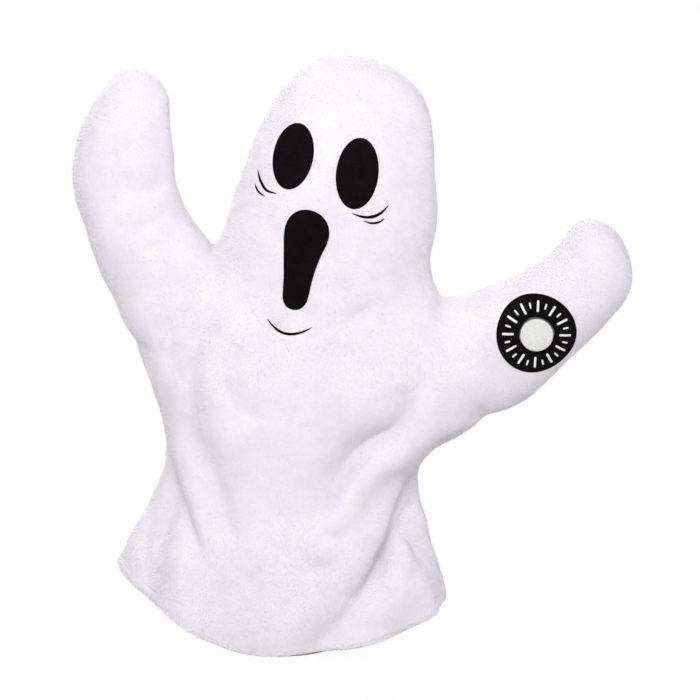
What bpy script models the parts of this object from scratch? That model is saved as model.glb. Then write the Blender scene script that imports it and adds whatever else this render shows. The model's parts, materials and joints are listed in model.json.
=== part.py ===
"""Standing dancing ghost: a fleece cover over a swaying plastic frame on a round battery base.

Metres, +Z up, origin on the floor under the middle of the base, front towards -Y.
The torso leans about the hip axle, and its arms follow through two push rods.
"""
import math

import bmesh
import bpy
from mathutils import Matrix, Vector

# Running gaps and wall sizes that many pieces share
FIT_GAP = 0.0003
CUT_OVERRUN = 0.002
CLOTH_THICKNESS = 0.0025
PLATE_THICKNESS = 0.0025
SHELL_WALL = 0.0018
ROUND_SIDES = 24
SMALL_SIDES = 12

# Pose at rest: the torso leans to the figure's left, and the arms swing the same way
REST_LEAN_DEG = 10.0
REST_ARM_DEG = 10.0
SWAY_STEPS_DEG = (0.0, -10.0, -20.0)

# Base drum
BASE_SIDE_ROOM = 0.0013
BASE_TOP_ROOM = 0.0058
BASE_SIDES = 40
TRAY_HEIGHT = 0.015
BASE_EDGE_ROUND = 0.0025
GRILLE_SLOT_WIDTH = 0.0016
GRILLE_SLOT_LENGTH = 0.016
GRILLE_SLOT_COUNT = 5
GRILLE_PITCH = 0.0035

# Battery bay in the tray
CELL_RADIUS = 0.00725
CELL_LENGTH = 0.0492
CELL_NUB_RADIUS = 0.00275
CELL_NUB_LENGTH = 0.0013
CELL_COUNT = 3
CELL_SIDE_GAP = 0.0005
CONTACT_THICKNESS = 0.0006
CONTACT_HEIGHT = 0.0110
CELL_SPRING_LENGTH = 0.0042
CELL_SPRING_RADIUS = 0.0036
CELL_SPRING_TIP_RADIUS = 0.0022
CELL_SPRING_WIRE = 0.00025
CELL_SPRING_TURNS = 3
CELL_SPRING_TURN_POINTS = 10
BAY_WALL = 0.0015
DOOR_EAR_RADIUS = 0.0045
DOOR_EAR_THICKNESS = 0.0012
DOOR_SCREW_RADIUS = 0.0014
DOOR_SCREW_HEAD = 0.0028
DOOR_SCREW_LENGTH = 0.0080

# Power switch beside the battery door
SWITCH_LENGTH = 0.0130
SWITCH_DEPTH = 0.0056
SWITCH_HEIGHT = 0.0050
SWITCH_BAY_GAP = 0.00435
SLIDER_LENGTH = 0.0040
SLIDER_DEPTH = 0.0026
SLIDER_TRAVEL = 0.0030
SLIDER_RECESS = 0.0005

# Speaker and circuit board above the bay
SPEAKER_RADIUS = 0.0120
SPEAKER_HEIGHT = 0.0070
SPEAKER_SIDE_ROOM = 0.0017
SPEAKER_CONE_DEPTH = 0.0025
SPEAKER_RIM_WIDTH = 0.0018
BOARD_LENGTH = 0.0420
BOARD_DEPTH = 0.0260
BOARD_THICKNESS = 0.0016
BOARD_Y = 0.0100
BOARD_CHIP = 0.0090
BOARD_CHIP_HEIGHT = 0.0030
BOARD_POST_RADIUS = 0.0020
BOARD_RAISE = 0.0012

# Hip axle and the gearbox that stands on the base
HIP_ABOVE_BASE = 0.014
AXLE_RADIUS = 0.0020
AXLE_HEAD_RADIUS = 0.0040
AXLE_HEAD_THICKNESS = 0.0014
HUB_RADIUS = 0.0070
GEARBOX_DEPTH = 0.0200
GEARBOX_WALL = 0.0020
GEARBOX_BACK_Y = 0.0045
GEARBOX_FOOT_X = 0.0240
GEARBOX_FOOT_DEPTH = 0.0070
GEARBOX_CORNER = 0.0040
POST_RADIUS = 0.0025
POST_GEAR_ROOM = 0.0040
POST_MOTOR_ROOM = 0.0008
LINK_GAP = 0.0010
DRIVE_GAP = 0.0007

# Gear train and crank
GEAR_MODULE = 0.0010
OUTPUT_TEETH = 28
PINION_TEETH = 10
WORM_WHEEL_TEETH = 24
WORM_WHEEL_MODULE = 0.0008
WORM_PITCH_RADIUS = 0.0029
WORM_THREAD_DEPTH = 0.0013
WORM_LENGTH = 0.0130
WORM_TURN_RINGS = 8
WORM_SIDES = 16
WORM_CREST_SHARE = 0.12
WORM_FLANK_SHARE = 0.20
MOTOR_SHAFT_RADIUS = 0.0010
GEAR_WIDTH = 0.0040
WHEEL_WIDTH = 0.0030
CRANK_ABOVE_HIP = 0.026
PINION_DROP = 0.0085
CRANK_PIN_RADIUS = 0.0018
CRANK_DISC_RADIUS = 0.0080
SHAFT_RADIUS = 0.0015
GEAR_HOLES = 4
GEAR_HOLE_RADIUS = 0.0035
GEAR_HOLE_REACH = 0.0077
TOOTH_TIP_SHARE = 0.85
TOOTH_ROOT_SHARE = 1.20
TOOTH_WIDTH_SHARES = (0.29, 0.19, 0.08)
MOTOR_RADIUS = 0.00775
MOTOR_HALF_DEPTH = 0.0060
MOTOR_HEIGHT = 0.0194
MOTOR_WALL = 0.0008
MOTOR_END_ROOM = 0.0018

# Torso frame
SHOULDER_X = 0.090
SHOULDER_ABOVE_HIP = 0.141
NECK_ABOVE_SHOULDER = 0.046
SPINE_RADIUS = 0.0060
BRACE_RADIUS = 0.0032
BRACE_DROP = 0.050
BRACE_REACH = 0.052
SPACER_X = 0.0140
SPACER_ABOVE_HIP = 0.0540
SPACER_RADIUS = 0.0030
DRIVE_LUG_RADIUS = 0.0055
SLOT_HALF_LENGTH = 0.0055
HEAD_DISC_RADIUS = 0.0280
HEAD_DISC_HALF_DEPTH = 0.0238
HEAD_DISC_THICKNESS = 0.0020
HEAD_LUG_WIDTH = 0.0120
HEAD_LUG_HEIGHT = 0.0140
HEAD_LUG_THICKNESS = 0.0024
FRAME_SCREW_RADIUS = 0.0012
FRAME_SCREW_HEAD = 0.0026
FRAME_SCREW_HEAD_THICKNESS = 0.0012
FRAME_SCREW_LENGTH = 0.0070

# Arm bones and push rods
BONE_THICKNESS = 0.0070
BONE_ROOT_RADIUS = 0.0060
BONE_TIP_RADIUS = 0.0045
BONE_TIP_ROOM = 0.0355
LEVER_REACH = 0.0180
LEVER_RADIUS = 0.0036
LEVER_PIN_RADIUS = 0.0015
OPEN_PIVOT_CLEARANCE = 0.0008
SHOULDER_PIN_RADIUS = 0.0025
ROD_THICKNESS = 0.0025
ROD_RADIUS = 0.0026
ROD_EYE_RADIUS = 0.0042
ANCHOR_X = 0.0180

# Fleece cover of torso and head. Each row is height, left edge, right edge and half depth
HEAD_RISE = 0.102
COVER_HALF_WIDTH = 0.090
COVER_BASE_ROOM = 0.006
COVER_ROW_SHARES = (
    (0.000, -0.97, 1.04, 1.00),
    (0.054, -0.93, 1.01, 0.97),
    (0.108, -0.88, 0.97, 0.91),
    (0.168, -0.82, 0.92, 0.84),
    (0.228, -0.80, 0.84, 0.76),
    (0.288, -0.81, 0.76, 0.71),
    (0.348, -0.87, 0.78, 0.71),
    (0.408, -0.99, 0.98, 0.71),
    (0.468, -1.10, 1.10, 0.69),
    (0.535, -1.03, 1.01, 0.65),
    (0.600, -0.79, 0.73, 0.64),
    (0.667, -0.71, 0.60, 0.67),
    (0.745, -0.67, 0.58, 0.69),
    (0.817, -0.63, 0.52, 0.67),
    (0.883, -0.56, 0.48, 0.60),
    (0.937, -0.47, 0.395, 0.49),
    (0.976, -0.34, 0.245, 0.33),
)
CROWN_X_SHARE = -0.07
COVER_SIDES = 28
COVER_ROUNDNESS = 2.2
HEM_RISE = 0.029
HEM_RISE_END = 0.096
HEM_CLEARANCE = 0.001
HEM_CURVE = 1.3
SKIRT_FOLD_DEPTH = 0.0065
SKIRT_FOLD_WIDTH_SHARE = 0.030
SKIRT_FOLD_FADE_SHARE = 0.7

# Valleys of the skirt, which lean as they climb from the hem. Each row is the place at the hem as
# a share of a turn from the figure's left, the depth, then the place and the height of the top
SKIRT_FOLD_SHARES = (
    (0.786, 1.00, 0.929, 0.350),
    (0.893, 0.50, 0.905, 0.160),
    (0.982, 0.55, 0.929, 0.250),
    (0.714, 0.85, 0.607, 0.410),
    (0.607, 0.80, 0.560, 0.290),
    (0.071, 0.60, 0.071, 0.200),
    (0.179, 0.90, 0.054, 0.400),
    (0.286, 1.00, 0.214, 0.350),
    (0.393, 0.75, 0.464, 0.400),
    (0.464, 0.50, 0.500, 0.190),
)

# Fleece arms. Each row is distance along the arm, then the inner and the outer edge
ARM_ROOT_RADIUS = 0.035
ARM_DEPTH = 0.0260
ARM_ROUNDNESS = 2.3
ARM_SIDES = 20
RIGHT_ARM_LENGTH = 0.1235
RIGHT_ARM_ANGLE_DEG = -21.6
RIGHT_ARM_SHARES = (
    (0.00, -0.97, 0.95, 0.97),
    (0.12, -0.94, 0.94, 0.96),
    (0.24, -0.77, 1.00, 0.94),
    (0.36, -0.62, 1.09, 0.90),
    (0.48, -0.54, 1.12, 0.86),
    (0.62, -0.63, 1.02, 0.82),
    (0.75, -0.70, 0.83, 0.79),
    (0.86, -0.74, 0.56, 0.73),
    (0.94, -0.63, 0.29, 0.60),
    (0.985, -0.42, 0.02, 0.36),
)
LEFT_ARM_LENGTH = 0.0965
LEFT_ARM_ANGLE_DEG = 42.0
LEFT_ARM_SHARES = (
    (0.00, -0.92, 1.05, 0.97),
    (0.15, -0.73, 1.08, 0.96),
    (0.31, -0.62, 1.04, 0.93),
    (0.52, -0.52, 0.98, 0.88),
    (0.67, -0.53, 0.89, 0.84),
    (0.80, -0.64, 0.76, 0.80),
    (0.89, -0.65, 0.61, 0.72),
    (0.95, -0.54, 0.38, 0.58),
    (0.985, -0.36, 0.14, 0.36),
)
ROOT_ROWS = 5
EDGE_SHARE = 0.98
ARM_SEAT_GAP = 0.0006
CAVITY_ROOM = 0.0007
CAVITY_RISE = 0.0220
CAVITY_FALL = 0.0400
CAVITY_OUTBOARD = 0.0100

# Face patches: places are shares of the cover's half width and of the head's rise
PATCH_THICKNESS = 0.0007
PATCH_LIFT = 0.0003
PATCH_SIDES = 24
PATCH_RINGS = 3
RIGHT_EYE_SHARES = (-0.368, 0.467)
RIGHT_EYE_HALF_WIDTH = 0.0110
RIGHT_EYE_HALF_HEIGHT = 0.0184
RIGHT_EYE_TILT_DEG = 5.0
LEFT_EYE_SHARES = (0.027, 0.445)
LEFT_EYE_HALF_WIDTH = 0.0115
LEFT_EYE_HALF_HEIGHT = 0.0192
LEFT_EYE_TILT_DEG = -4.0
MOUTH_TOP_SHARES = (-0.209, 0.083)
MOUTH_TOP_RADIUS = 0.0120
MOUTH_BOTTOM_SHARES = (-0.210, -0.292)
MOUTH_BOTTOM_RADIUS = 0.0070

# Press button on the figure's left arm: place along and across it as shares
PRESS_PLACE_SHARES = (0.302, 0.208)
PRESS_RING_RADIUS = 0.0220
PRESS_RING_LIFT = 0.0008
PRESS_POCKET_RADIUS = 0.0096
PRESS_CAP_RADIUS = 0.0090
PRESS_CAP_THICKNESS = 0.0018
PRESS_CAP_EDGE = 0.0008
PRESS_CAP_SINK = 0.0018
PRESS_STEM_RADIUS = 0.0038
PRESS_STEM_LENGTH = 0.0075
PRESS_TRAVEL = 0.0015
PRESS_SWITCH_DROP = 0.0052
PRESS_SWITCH_DEPTH = 0.0107
PRESS_BORE_DEPTH = 0.0075

FINISHES = {
    "fleece": ((0.93, 0.90, 0.96), 0.95, 0.0),
    "stuffing": ((0.88, 0.87, 0.84), 1.0, 0.0),
    "black_felt": ((0.012, 0.011, 0.012), 0.85, 0.0),
    "white_disc": ((0.86, 0.86, 0.84), 0.7, 0.0),
    "base_plastic": ((0.06, 0.06, 0.065), 0.5, 0.0),
    "frame_plastic": ((0.62, 0.62, 0.60), 0.5, 0.0),
    "gear_plastic": ((0.80, 0.77, 0.68), 0.45, 0.0),
    "steel": ((0.62, 0.62, 0.63), 0.3, 1.0),
    "cell_jacket": ((0.08, 0.16, 0.10), 0.4, 0.2),
    "board": ((0.04, 0.22, 0.09), 0.5, 0.0),
    "speaker_paper": ((0.05, 0.05, 0.05), 0.8, 0.0),
}

SMOOTH_ANGLE_DEG = 40.0

# Places that follow from the sizes above: battery bay and drum
CELL_PITCH = 2 * CELL_RADIUS + CELL_SIDE_GAP
BAY_HALF_LENGTH = (
    (CELL_LENGTH + CELL_NUB_LENGTH + CELL_SPRING_LENGTH) / 2 + CONTACT_THICKNESS + 2 * FIT_GAP
)
BAY_HALF_DEPTH = CELL_PITCH * (CELL_COUNT - 1) / 2 + CELL_RADIUS + 2 * FIT_GAP
CELL_Z = SHELL_WALL + FIT_GAP + CELL_RADIUS
BAY_TOP = CELL_Z + CELL_RADIUS
DOOR_EAR_X = BAY_HALF_LENGTH + DOOR_EAR_RADIUS
EAR_REACH = DOOR_EAR_X + DOOR_EAR_RADIUS + BAY_WALL / 2
BAY_REACH = math.hypot(BAY_HALF_LENGTH + BAY_WALL, BAY_HALF_DEPTH + BAY_WALL)
BASE_RADIUS = max(EAR_REACH, BAY_REACH) + BASE_SIDE_ROOM
BOARD_LOW = BAY_TOP + BOARD_RAISE
BASE_HEIGHT = BOARD_LOW + BOARD_THICKNESS + BOARD_CHIP_HEIGHT + BASE_TOP_ROOM + SHELL_WALL
SWITCH_Y = BAY_HALF_DEPTH + BAY_WALL + SWITCH_BAY_GAP + SWITCH_DEPTH / 2
SPEAKER_Y = SHELL_WALL + SPEAKER_SIDE_ROOM + SPEAKER_RADIUS - BASE_RADIUS

# Heights of the upright figure
HIP_HEIGHT = BASE_HEIGHT + HIP_ABOVE_BASE
SHOULDER_Z = HIP_HEIGHT + SHOULDER_ABOVE_HIP
NECK_Z = SHOULDER_Z + NECK_ABOVE_SHOULDER
COVER_HEIGHT = NECK_Z + HEAD_RISE
COVER_HALF_DEPTH = BASE_RADIUS + COVER_BASE_ROOM + SKIRT_FOLD_DEPTH + CLOTH_THICKNESS
SPACER_Z = HIP_HEIGHT + SPACER_ABOVE_HIP
STUFFING_BOTTOM = NECK_Z + HEAD_DISC_THICKNESS + 2 * FIT_GAP

# Depths from front to back: gearbox, push rods, torso frame, arm bones, drive plate
GEARBOX_FRONT_Y = GEARBOX_BACK_Y - GEARBOX_DEPTH
INNER_FRONT_Y = GEARBOX_FRONT_Y + GEARBOX_WALL
INNER_BACK_Y = GEARBOX_BACK_Y - GEARBOX_WALL
ROD_Y = GEARBOX_BACK_Y + LINK_GAP
FRAME_Y = ROD_Y + ROD_THICKNESS + LINK_GAP
BONE_BACK_Y = ROD_Y - LINK_GAP / 2
BONE_FRONT_Y = BONE_BACK_Y - BONE_THICKNESS
CAVITY_FRONT_Y = BONE_FRONT_Y - FIT_GAP - AXLE_HEAD_THICKNESS - CAVITY_ROOM
CAVITY_BACK_Y = FRAME_Y + PLATE_THICKNESS + AXLE_HEAD_THICKNESS + CAVITY_ROOM
DRIVE_PLATE_Y = GEARBOX_FRONT_Y - FIT_GAP - 2 * PLATE_THICKNESS - DRIVE_GAP

# Gear train: crank shaft, middle shaft, worm and motor
HIP = Vector((0.0, 0.0, HIP_HEIGHT))
CRANK_AXIS = HIP + Vector((0.0, 0.0, CRANK_ABOVE_HIP))
OUTPUT_RADIUS = GEAR_MODULE * OUTPUT_TEETH / 2
PINION_RADIUS = GEAR_MODULE * PINION_TEETH / 2
GEAR_DISTANCE = OUTPUT_RADIUS + PINION_RADIUS
MIDDLE_AXIS = CRANK_AXIS + Vector(
    (math.sqrt(GEAR_DISTANCE**2 - PINION_DROP**2), 0.0, -PINION_DROP)
)
WHEEL_RADIUS = WORM_WHEEL_MODULE * WORM_WHEEL_TEETH / 2
WORM_X = MIDDLE_AXIS.x + WHEEL_RADIUS + WORM_PITCH_RADIUS
OUTPUT_FRONT_Y = INNER_FRONT_Y + GEARBOX_WALL / 2
OUTPUT_BACK_Y = OUTPUT_FRONT_Y + GEAR_WIDTH
WHEEL_FRONT_Y = OUTPUT_BACK_Y + 4 * FIT_GAP
WHEEL_BACK_Y = WHEEL_FRONT_Y + WHEEL_WIDTH
WORM_Y = (WHEEL_FRONT_Y + WHEEL_BACK_Y) / 2
CRANK_THROW = CRANK_ABOVE_HIP * math.sin(math.radians(REST_LEAN_DEG))
MOTOR_LOW = BASE_HEIGHT + 2 * FIT_GAP
MOTOR_TOP = MOTOR_LOW + MOTOR_HEIGHT
LEFT_POST_X = WORM_X + MOTOR_RADIUS + POST_MOTOR_ROOM
LEFT_POST_Z = MIDDLE_AXIS.z
RIGHT_POST_X = -OUTPUT_RADIUS - POST_GEAR_ROOM
RIGHT_POST_Z = CRANK_AXIS.z - OUTPUT_RADIUS

# Press button, from the front of the arm inwards
PRESS_CAP_FRONT_Y = PRESS_CAP_SINK - ARM_DEPTH
PRESS_SWITCH_FRONT_Y = PRESS_CAP_FRONT_Y + PRESS_SWITCH_DROP
PRESS_SWITCH_BACK_Y = PRESS_SWITCH_FRONT_Y + PRESS_SWITCH_DEPTH


# Small helpers for meshes and placing
def turn_y(angle_deg):
    return Matrix.Rotation(math.radians(angle_deg), 4, "Y")


def finish_material(key):
    material = bpy.data.materials.get(key)
    if material:
        return material
    colour, roughness, metallic = FINISHES[key]
    material = bpy.data.materials.new(key)
    material.use_nodes = True
    shader = material.node_tree.nodes["Principled BSDF"]
    shader.inputs["Base Color"].default_value = (*colour, 1.0)
    shader.inputs["Roughness"].default_value = roughness
    shader.inputs["Metallic"].default_value = metallic
    return material


class Pivot:
    """An empty on a joint axis. Pieces drawn in the parent's frame hang on it."""

    def __init__(self, name, drawn_at, parent=None, turn_deg=0.0):
        self.empty = bpy.data.objects.new(name, None)
        self.drawn_at = drawn_at
        bpy.context.scene.collection.objects.link(self.empty)
        offset = drawn_at - parent.drawn_at if parent else drawn_at
        self.empty.location = offset
        self.empty.rotation_euler = (0.0, math.radians(turn_deg), 0.0)
        if parent:
            self.empty.parent = parent.empty


def add_piece(name, bm, finish, pivot=None, smooth=True):
    bmesh.ops.recalc_face_normals(bm, faces=bm.faces)
    mesh = bpy.data.meshes.new(name)
    bm.to_mesh(mesh)
    bm.free()
    piece = bpy.data.objects.new(name, mesh)
    bpy.context.scene.collection.objects.link(piece)
    if pivot:
        mesh.transform(Matrix.Translation(-pivot.drawn_at))
        piece.parent = pivot.empty
    mesh.materials.append(finish_material(finish))
    if smooth:
        mesh.shade_smooth()
        mesh.set_sharp_from_angle(angle=math.radians(SMOOTH_ANGLE_DEG))
    return piece


def combine(piece, bm, operation, pivot=None):
    """Cuts or adds a shape, which stays in the file as a hidden guide."""
    guide = add_piece(f"guide_{piece.name}", bm, "steel", pivot, smooth=False)
    guide.hide_render = True
    guide.display_type = "WIRE"
    modifier = piece.modifiers.new(operation.lower(), "BOOLEAN")
    modifier.operation = operation
    modifier.solver = "EXACT"
    modifier.object = guide


def cut(piece, bm, pivot=None):
    combine(piece, bm, "DIFFERENCE", pivot)


def fuse(piece, bm, pivot=None):
    combine(piece, bm, "UNION", pivot)


def prism(outline, low, high, axis="Y"):
    """Closed outline of (a, b) points, swept along one axis from low to high."""
    places = {
        "X": lambda a, b, c: (c, a, b),
        "Y": lambda a, b, c: (a, c, b),
        "Z": lambda a, b, c: (a, b, c),
    }
    place = places[axis]
    bm = bmesh.new()
    near = [bm.verts.new(place(a, b, low)) for a, b in outline]
    far = [bm.verts.new(place(a, b, high)) for a, b in outline]
    bm.faces.new(near)
    bm.faces.new(far[::-1])
    count = len(outline)
    for index in range(count):
        following = (index + 1) % count
        bm.faces.new((near[index], near[following], far[following], far[index]))
    return bm


def circle(centre_a, centre_b, radius, sides=ROUND_SIDES, start=0.0):
    step = 2 * math.pi / sides
    return [
        (
            centre_a + radius * math.cos(start + step * index),
            centre_b + radius * math.sin(start + step * index),
        )
        for index in range(sides)
    ]


def hull_of(points):
    """Convex outline round the given points, by Andrew's chain."""
    ordered = sorted(set(points))

    def half(chain_points):
        chain = []
        for point in chain_points:
            while len(chain) > 1:
                (ax, ay), (bx, by) = chain[-2], chain[-1]
                turn = (bx - ax) * (point[1] - ay) - (by - ay) * (point[0] - ax)
                if turn > 0:
                    break
                chain.pop()
            chain.append(point)
        return chain[:-1]

    return half(ordered) + half(ordered[::-1])


def hull_plate(discs, low, high, grow=0.0, sides=ROUND_SIDES):
    """Flat plate whose outline wraps tightly round the given discs of (x, z, radius)."""
    points = []
    for centre_x, centre_z, radius in discs:
        points += circle(centre_x, centre_z, radius + grow, sides)
    return prism(hull_of(points), low, high)


def rod_along_y(x, z, radius, low, high, sides=ROUND_SIDES):
    return prism(circle(x, z, radius, sides), low, high)


def box(low, high):
    outline = ((low[0], low[1]), (high[0], low[1]), (high[0], high[1]), (low[0], high[1]))
    return prism(outline, low[2], high[2], "Z")


def turned(profile, centre, axis="Z", sides=ROUND_SIDES):
    """Solid of revolution from (radius, height) points that start and end on the axis."""
    bm = bmesh.new()
    rings = []
    for radius, height in profile:
        if radius == 0:
            rings.append([bm.verts.new((0, 0, height))])
            continue
        rings.append([bm.verts.new((a, b, height)) for a, b in circle(0, 0, radius, sides)])
    for lower, upper in zip(rings, rings[1:]):
        join_rings(bm, lower, upper)
    if axis == "Y":
        bmesh.ops.rotate(bm, verts=bm.verts, matrix=Matrix.Rotation(-math.pi / 2, 3, "X"))
    if axis == "X":
        bmesh.ops.rotate(bm, verts=bm.verts, matrix=Matrix.Rotation(math.pi / 2, 3, "Y"))
    bmesh.ops.translate(bm, verts=bm.verts, vec=centre)
    return bm


def join_rings(bm, lower, upper):
    count = max(len(lower), len(upper))
    for index in range(count):
        following = (index + 1) % count
        corners = [
            lower[index % len(lower)],
            lower[following % len(lower)],
            upper[following % len(upper)],
            upper[index % len(upper)],
        ]
        unique = list(dict.fromkeys(corners))
        if len(unique) > 2:
            bm.faces.new(unique)


def gear_outline(teeth, module, centre, start=0.0):
    pitch_radius = teeth * module / 2
    step = 2 * math.pi / teeth
    root_share, pitch_share, tip_share = TOOTH_WIDTH_SHARES
    radii = (
        (pitch_radius - TOOTH_ROOT_SHARE * module, root_share),
        (pitch_radius, pitch_share),
        (pitch_radius + TOOTH_TIP_SHARE * module, tip_share),
    )
    outline = []
    for tooth in range(teeth):
        middle = start + tooth * step
        flank = [(radius, -share) for radius, share in radii]
        flank += [(radius, share) for radius, share in radii[::-1]]
        for radius, share in flank:
            angle = middle + share * step
            outline.append(
                (centre.x + radius * math.cos(angle), centre.z + radius * math.sin(angle))
            )
    return outline


def coil(name, finish, centre, radii, wire, length, turns):
    """Conical spring along X, one unbroken tube whose ends run straight out."""
    count = CELL_SPRING_TURN_POINTS * turns
    curve = bpy.data.curves.new(name, "CURVE")
    curve.dimensions = "3D"
    curve.bevel_depth = wire
    curve.bevel_resolution = 1
    curve.use_fill_caps = True
    spline = curve.splines.new("POLY")
    inner = length - 4 * wire
    points = [(-length / 2, radii[0], 0.0)]
    for index in range(count + 1):
        angle = 2 * math.pi * index / CELL_SPRING_TURN_POINTS
        along = -length / 2 + 2 * wire + inner * index / count
        radius = radii[0] + (radii[1] - radii[0]) * index / count
        points.append((along, radius * math.cos(angle), radius * math.sin(angle)))
    points.append((length / 2, radii[1], 0.0))
    spline.points.add(len(points) - 1)
    for point, place in zip(spline.points, points):
        point.co = (*(Vector(place) + centre), 1.0)
    places = [Vector(place) for place in points]
    apart = [
        (first - second).length
        for number, first in enumerate(places)
        for second in places[number + CELL_SPRING_TURN_POINTS // 2:]
    ]
    print(f"{name}: least gap to itself is {min(apart) - 2 * wire}")
    piece = bpy.data.objects.new(name, curve)
    bpy.context.scene.collection.objects.link(piece)
    curve.materials.append(finish_material(finish))
    return piece


# Base drum, battery bay and electrics
def drum_profile(radius, low, high, edge):
    return ((0, low), (radius - edge, low), (radius, low + edge), (radius, high), (0, high))


def make_tray():
    tray = add_piece(
        "base_tray",
        turned(
            drum_profile(BASE_RADIUS, 0, TRAY_HEIGHT, BASE_EDGE_ROUND / 2),
            (0, 0, 0),
            sides=BASE_SIDES,
        ),
        "base_plastic",
    )
    hollow = turned(
        (
            (0, SHELL_WALL),
            (BASE_RADIUS - SHELL_WALL, SHELL_WALL),
            (BASE_RADIUS - SHELL_WALL, TRAY_HEIGHT + CUT_OVERRUN),
            (0, TRAY_HEIGHT + CUT_OVERRUN),
        ),
        (0, 0, 0),
        sides=BASE_SIDES,
    )
    cut(tray, hollow)
    outer_x = BAY_HALF_LENGTH + BAY_WALL
    outer_y = BAY_HALF_DEPTH + BAY_WALL
    fuse(
        tray,
        box((-outer_x, -outer_y, SHELL_WALL / 2), (outer_x, outer_y, TRAY_HEIGHT - SHELL_WALL)),
    )
    boss_top = DOOR_SCREW_LENGTH + 2 * SHELL_WALL
    boss = prism(
        circle(DOOR_EAR_X, 0, DOOR_EAR_RADIUS + BAY_WALL / 2), SHELL_WALL / 2, boss_top, "Z"
    )
    fuse(tray, boss)
    cut(
        tray,
        box(
            (-BAY_HALF_LENGTH, -BAY_HALF_DEPTH, -CUT_OVERRUN),
            (BAY_HALF_LENGTH, BAY_HALF_DEPTH, TRAY_HEIGHT),
        ),
    )
    cut(tray, prism(ear_outline(DOOR_EAR_RADIUS), -CUT_OVERRUN, DOOR_EAR_THICKNESS + FIT_GAP, "Z"))
    cut(tray, prism(circle(DOOR_EAR_X, 0, DOOR_SCREW_RADIUS + FIT_GAP, SMALL_SIDES),
                    0, DOOR_SCREW_LENGTH + SHELL_WALL, "Z"))
    slot_half = (SLIDER_LENGTH + SLIDER_TRAVEL) / 2 + 2 * FIT_GAP
    cut(
        tray,
        box(
            (-slot_half, SWITCH_Y - SLIDER_DEPTH / 2 - FIT_GAP, -CUT_OVERRUN),
            (slot_half, SWITCH_Y + SLIDER_DEPTH / 2 + FIT_GAP, SHELL_WALL + FIT_GAP),
        ),
    )
    return tray


def ear_outline(radius):
    """Tab of the door that runs out from the bay to its screw."""
    inside = BAY_HALF_LENGTH - DOOR_EAR_RADIUS
    return hull_of([(inside, radius), (inside, -radius)] + circle(DOOR_EAR_X, 0, radius))


def make_door():
    half_length = BAY_HALF_LENGTH - FIT_GAP
    half_depth = BAY_HALF_DEPTH - FIT_GAP
    door = add_piece(
        "battery_door",
        box((-half_length, -half_depth, 0), (half_length, half_depth, SHELL_WALL - FIT_GAP)),
        "base_plastic",
    )
    fuse(door, prism(ear_outline(DOOR_EAR_RADIUS - FIT_GAP), 0, DOOR_EAR_THICKNESS, "Z"))
    cut(
        door,
        prism(
            circle(DOOR_EAR_X, 0, DOOR_SCREW_RADIUS + FIT_GAP, SMALL_SIDES),
            -CUT_OVERRUN,
            SHELL_WALL,
            "Z",
        ),
    )
    cut(
        door,
        prism(
            circle(DOOR_EAR_X, 0, DOOR_SCREW_HEAD + FIT_GAP, SMALL_SIDES),
            -CUT_OVERRUN,
            DOOR_EAR_THICKNESS / 2,
            "Z",
        ),
    )
    screw = turned(
        (
            (0, SLIDER_RECESS / 2),
            (DOOR_SCREW_HEAD, SLIDER_RECESS / 2),
            (DOOR_SCREW_HEAD, DOOR_EAR_THICKNESS / 2 - FIT_GAP / 2),
            (DOOR_SCREW_RADIUS, DOOR_EAR_THICKNESS / 2 - FIT_GAP / 2),
            (DOOR_SCREW_RADIUS, DOOR_SCREW_LENGTH),
            (0, DOOR_SCREW_LENGTH + DOOR_SCREW_RADIUS),
        ),
        (DOOR_EAR_X, 0, 0),
        sides=SMALL_SIDES,
    )
    add_piece("door_screw", screw, "steel")


def make_cells():
    for number in range(CELL_COUNT):
        y = (number - (CELL_COUNT - 1) / 2) * CELL_PITCH
        facing = 1 if number % 2 == 0 else -1
        nub_end = BAY_HALF_LENGTH - CONTACT_THICKNESS - 2 * FIT_GAP
        shoulder = nub_end - CELL_NUB_LENGTH
        profile = [
            (0, nub_end),
            (CELL_NUB_RADIUS, nub_end),
            (CELL_NUB_RADIUS, shoulder),
            (CELL_RADIUS, shoulder),
            (CELL_RADIUS, shoulder - CELL_LENGTH),
            (0, shoulder - CELL_LENGTH),
        ]
        flipped = [(radius, facing * height) for radius, height in profile]
        add_piece(f"battery_cell_{number + 1}", turned(flipped, (0, y, CELL_Z), "X"), "cell_jacket")
        spring_end = shoulder - CELL_LENGTH - FIT_GAP / 2
        middle = facing * (spring_end - CELL_SPRING_LENGTH / 2 + FIT_GAP)
        radii = (CELL_SPRING_RADIUS, CELL_SPRING_TIP_RADIUS)[::facing]
        coil(
            f"cell_spring_{number + 1}",
            "steel",
            Vector((middle, y, CELL_Z)),
            radii,
            CELL_SPRING_WIRE,
            CELL_SPRING_LENGTH - 2 * FIT_GAP,
            CELL_SPRING_TURNS,
        )
    for side, name in ((-1, "contact_plate_right"), (1, "contact_plate_left")):
        near = side * (BAY_HALF_LENGTH - FIT_GAP)
        far = side * (BAY_HALF_LENGTH - FIT_GAP - CONTACT_THICKNESS)
        low_x, high_x = sorted((near, far))
        half_depth = BAY_HALF_DEPTH - FIT_GAP
        plate = box(
            (low_x, -half_depth, CELL_Z - CONTACT_HEIGHT / 2),
            (high_x, half_depth, CELL_Z + CONTACT_HEIGHT / 2),
        )
        add_piece(name, plate, "steel", smooth=False)


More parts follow.
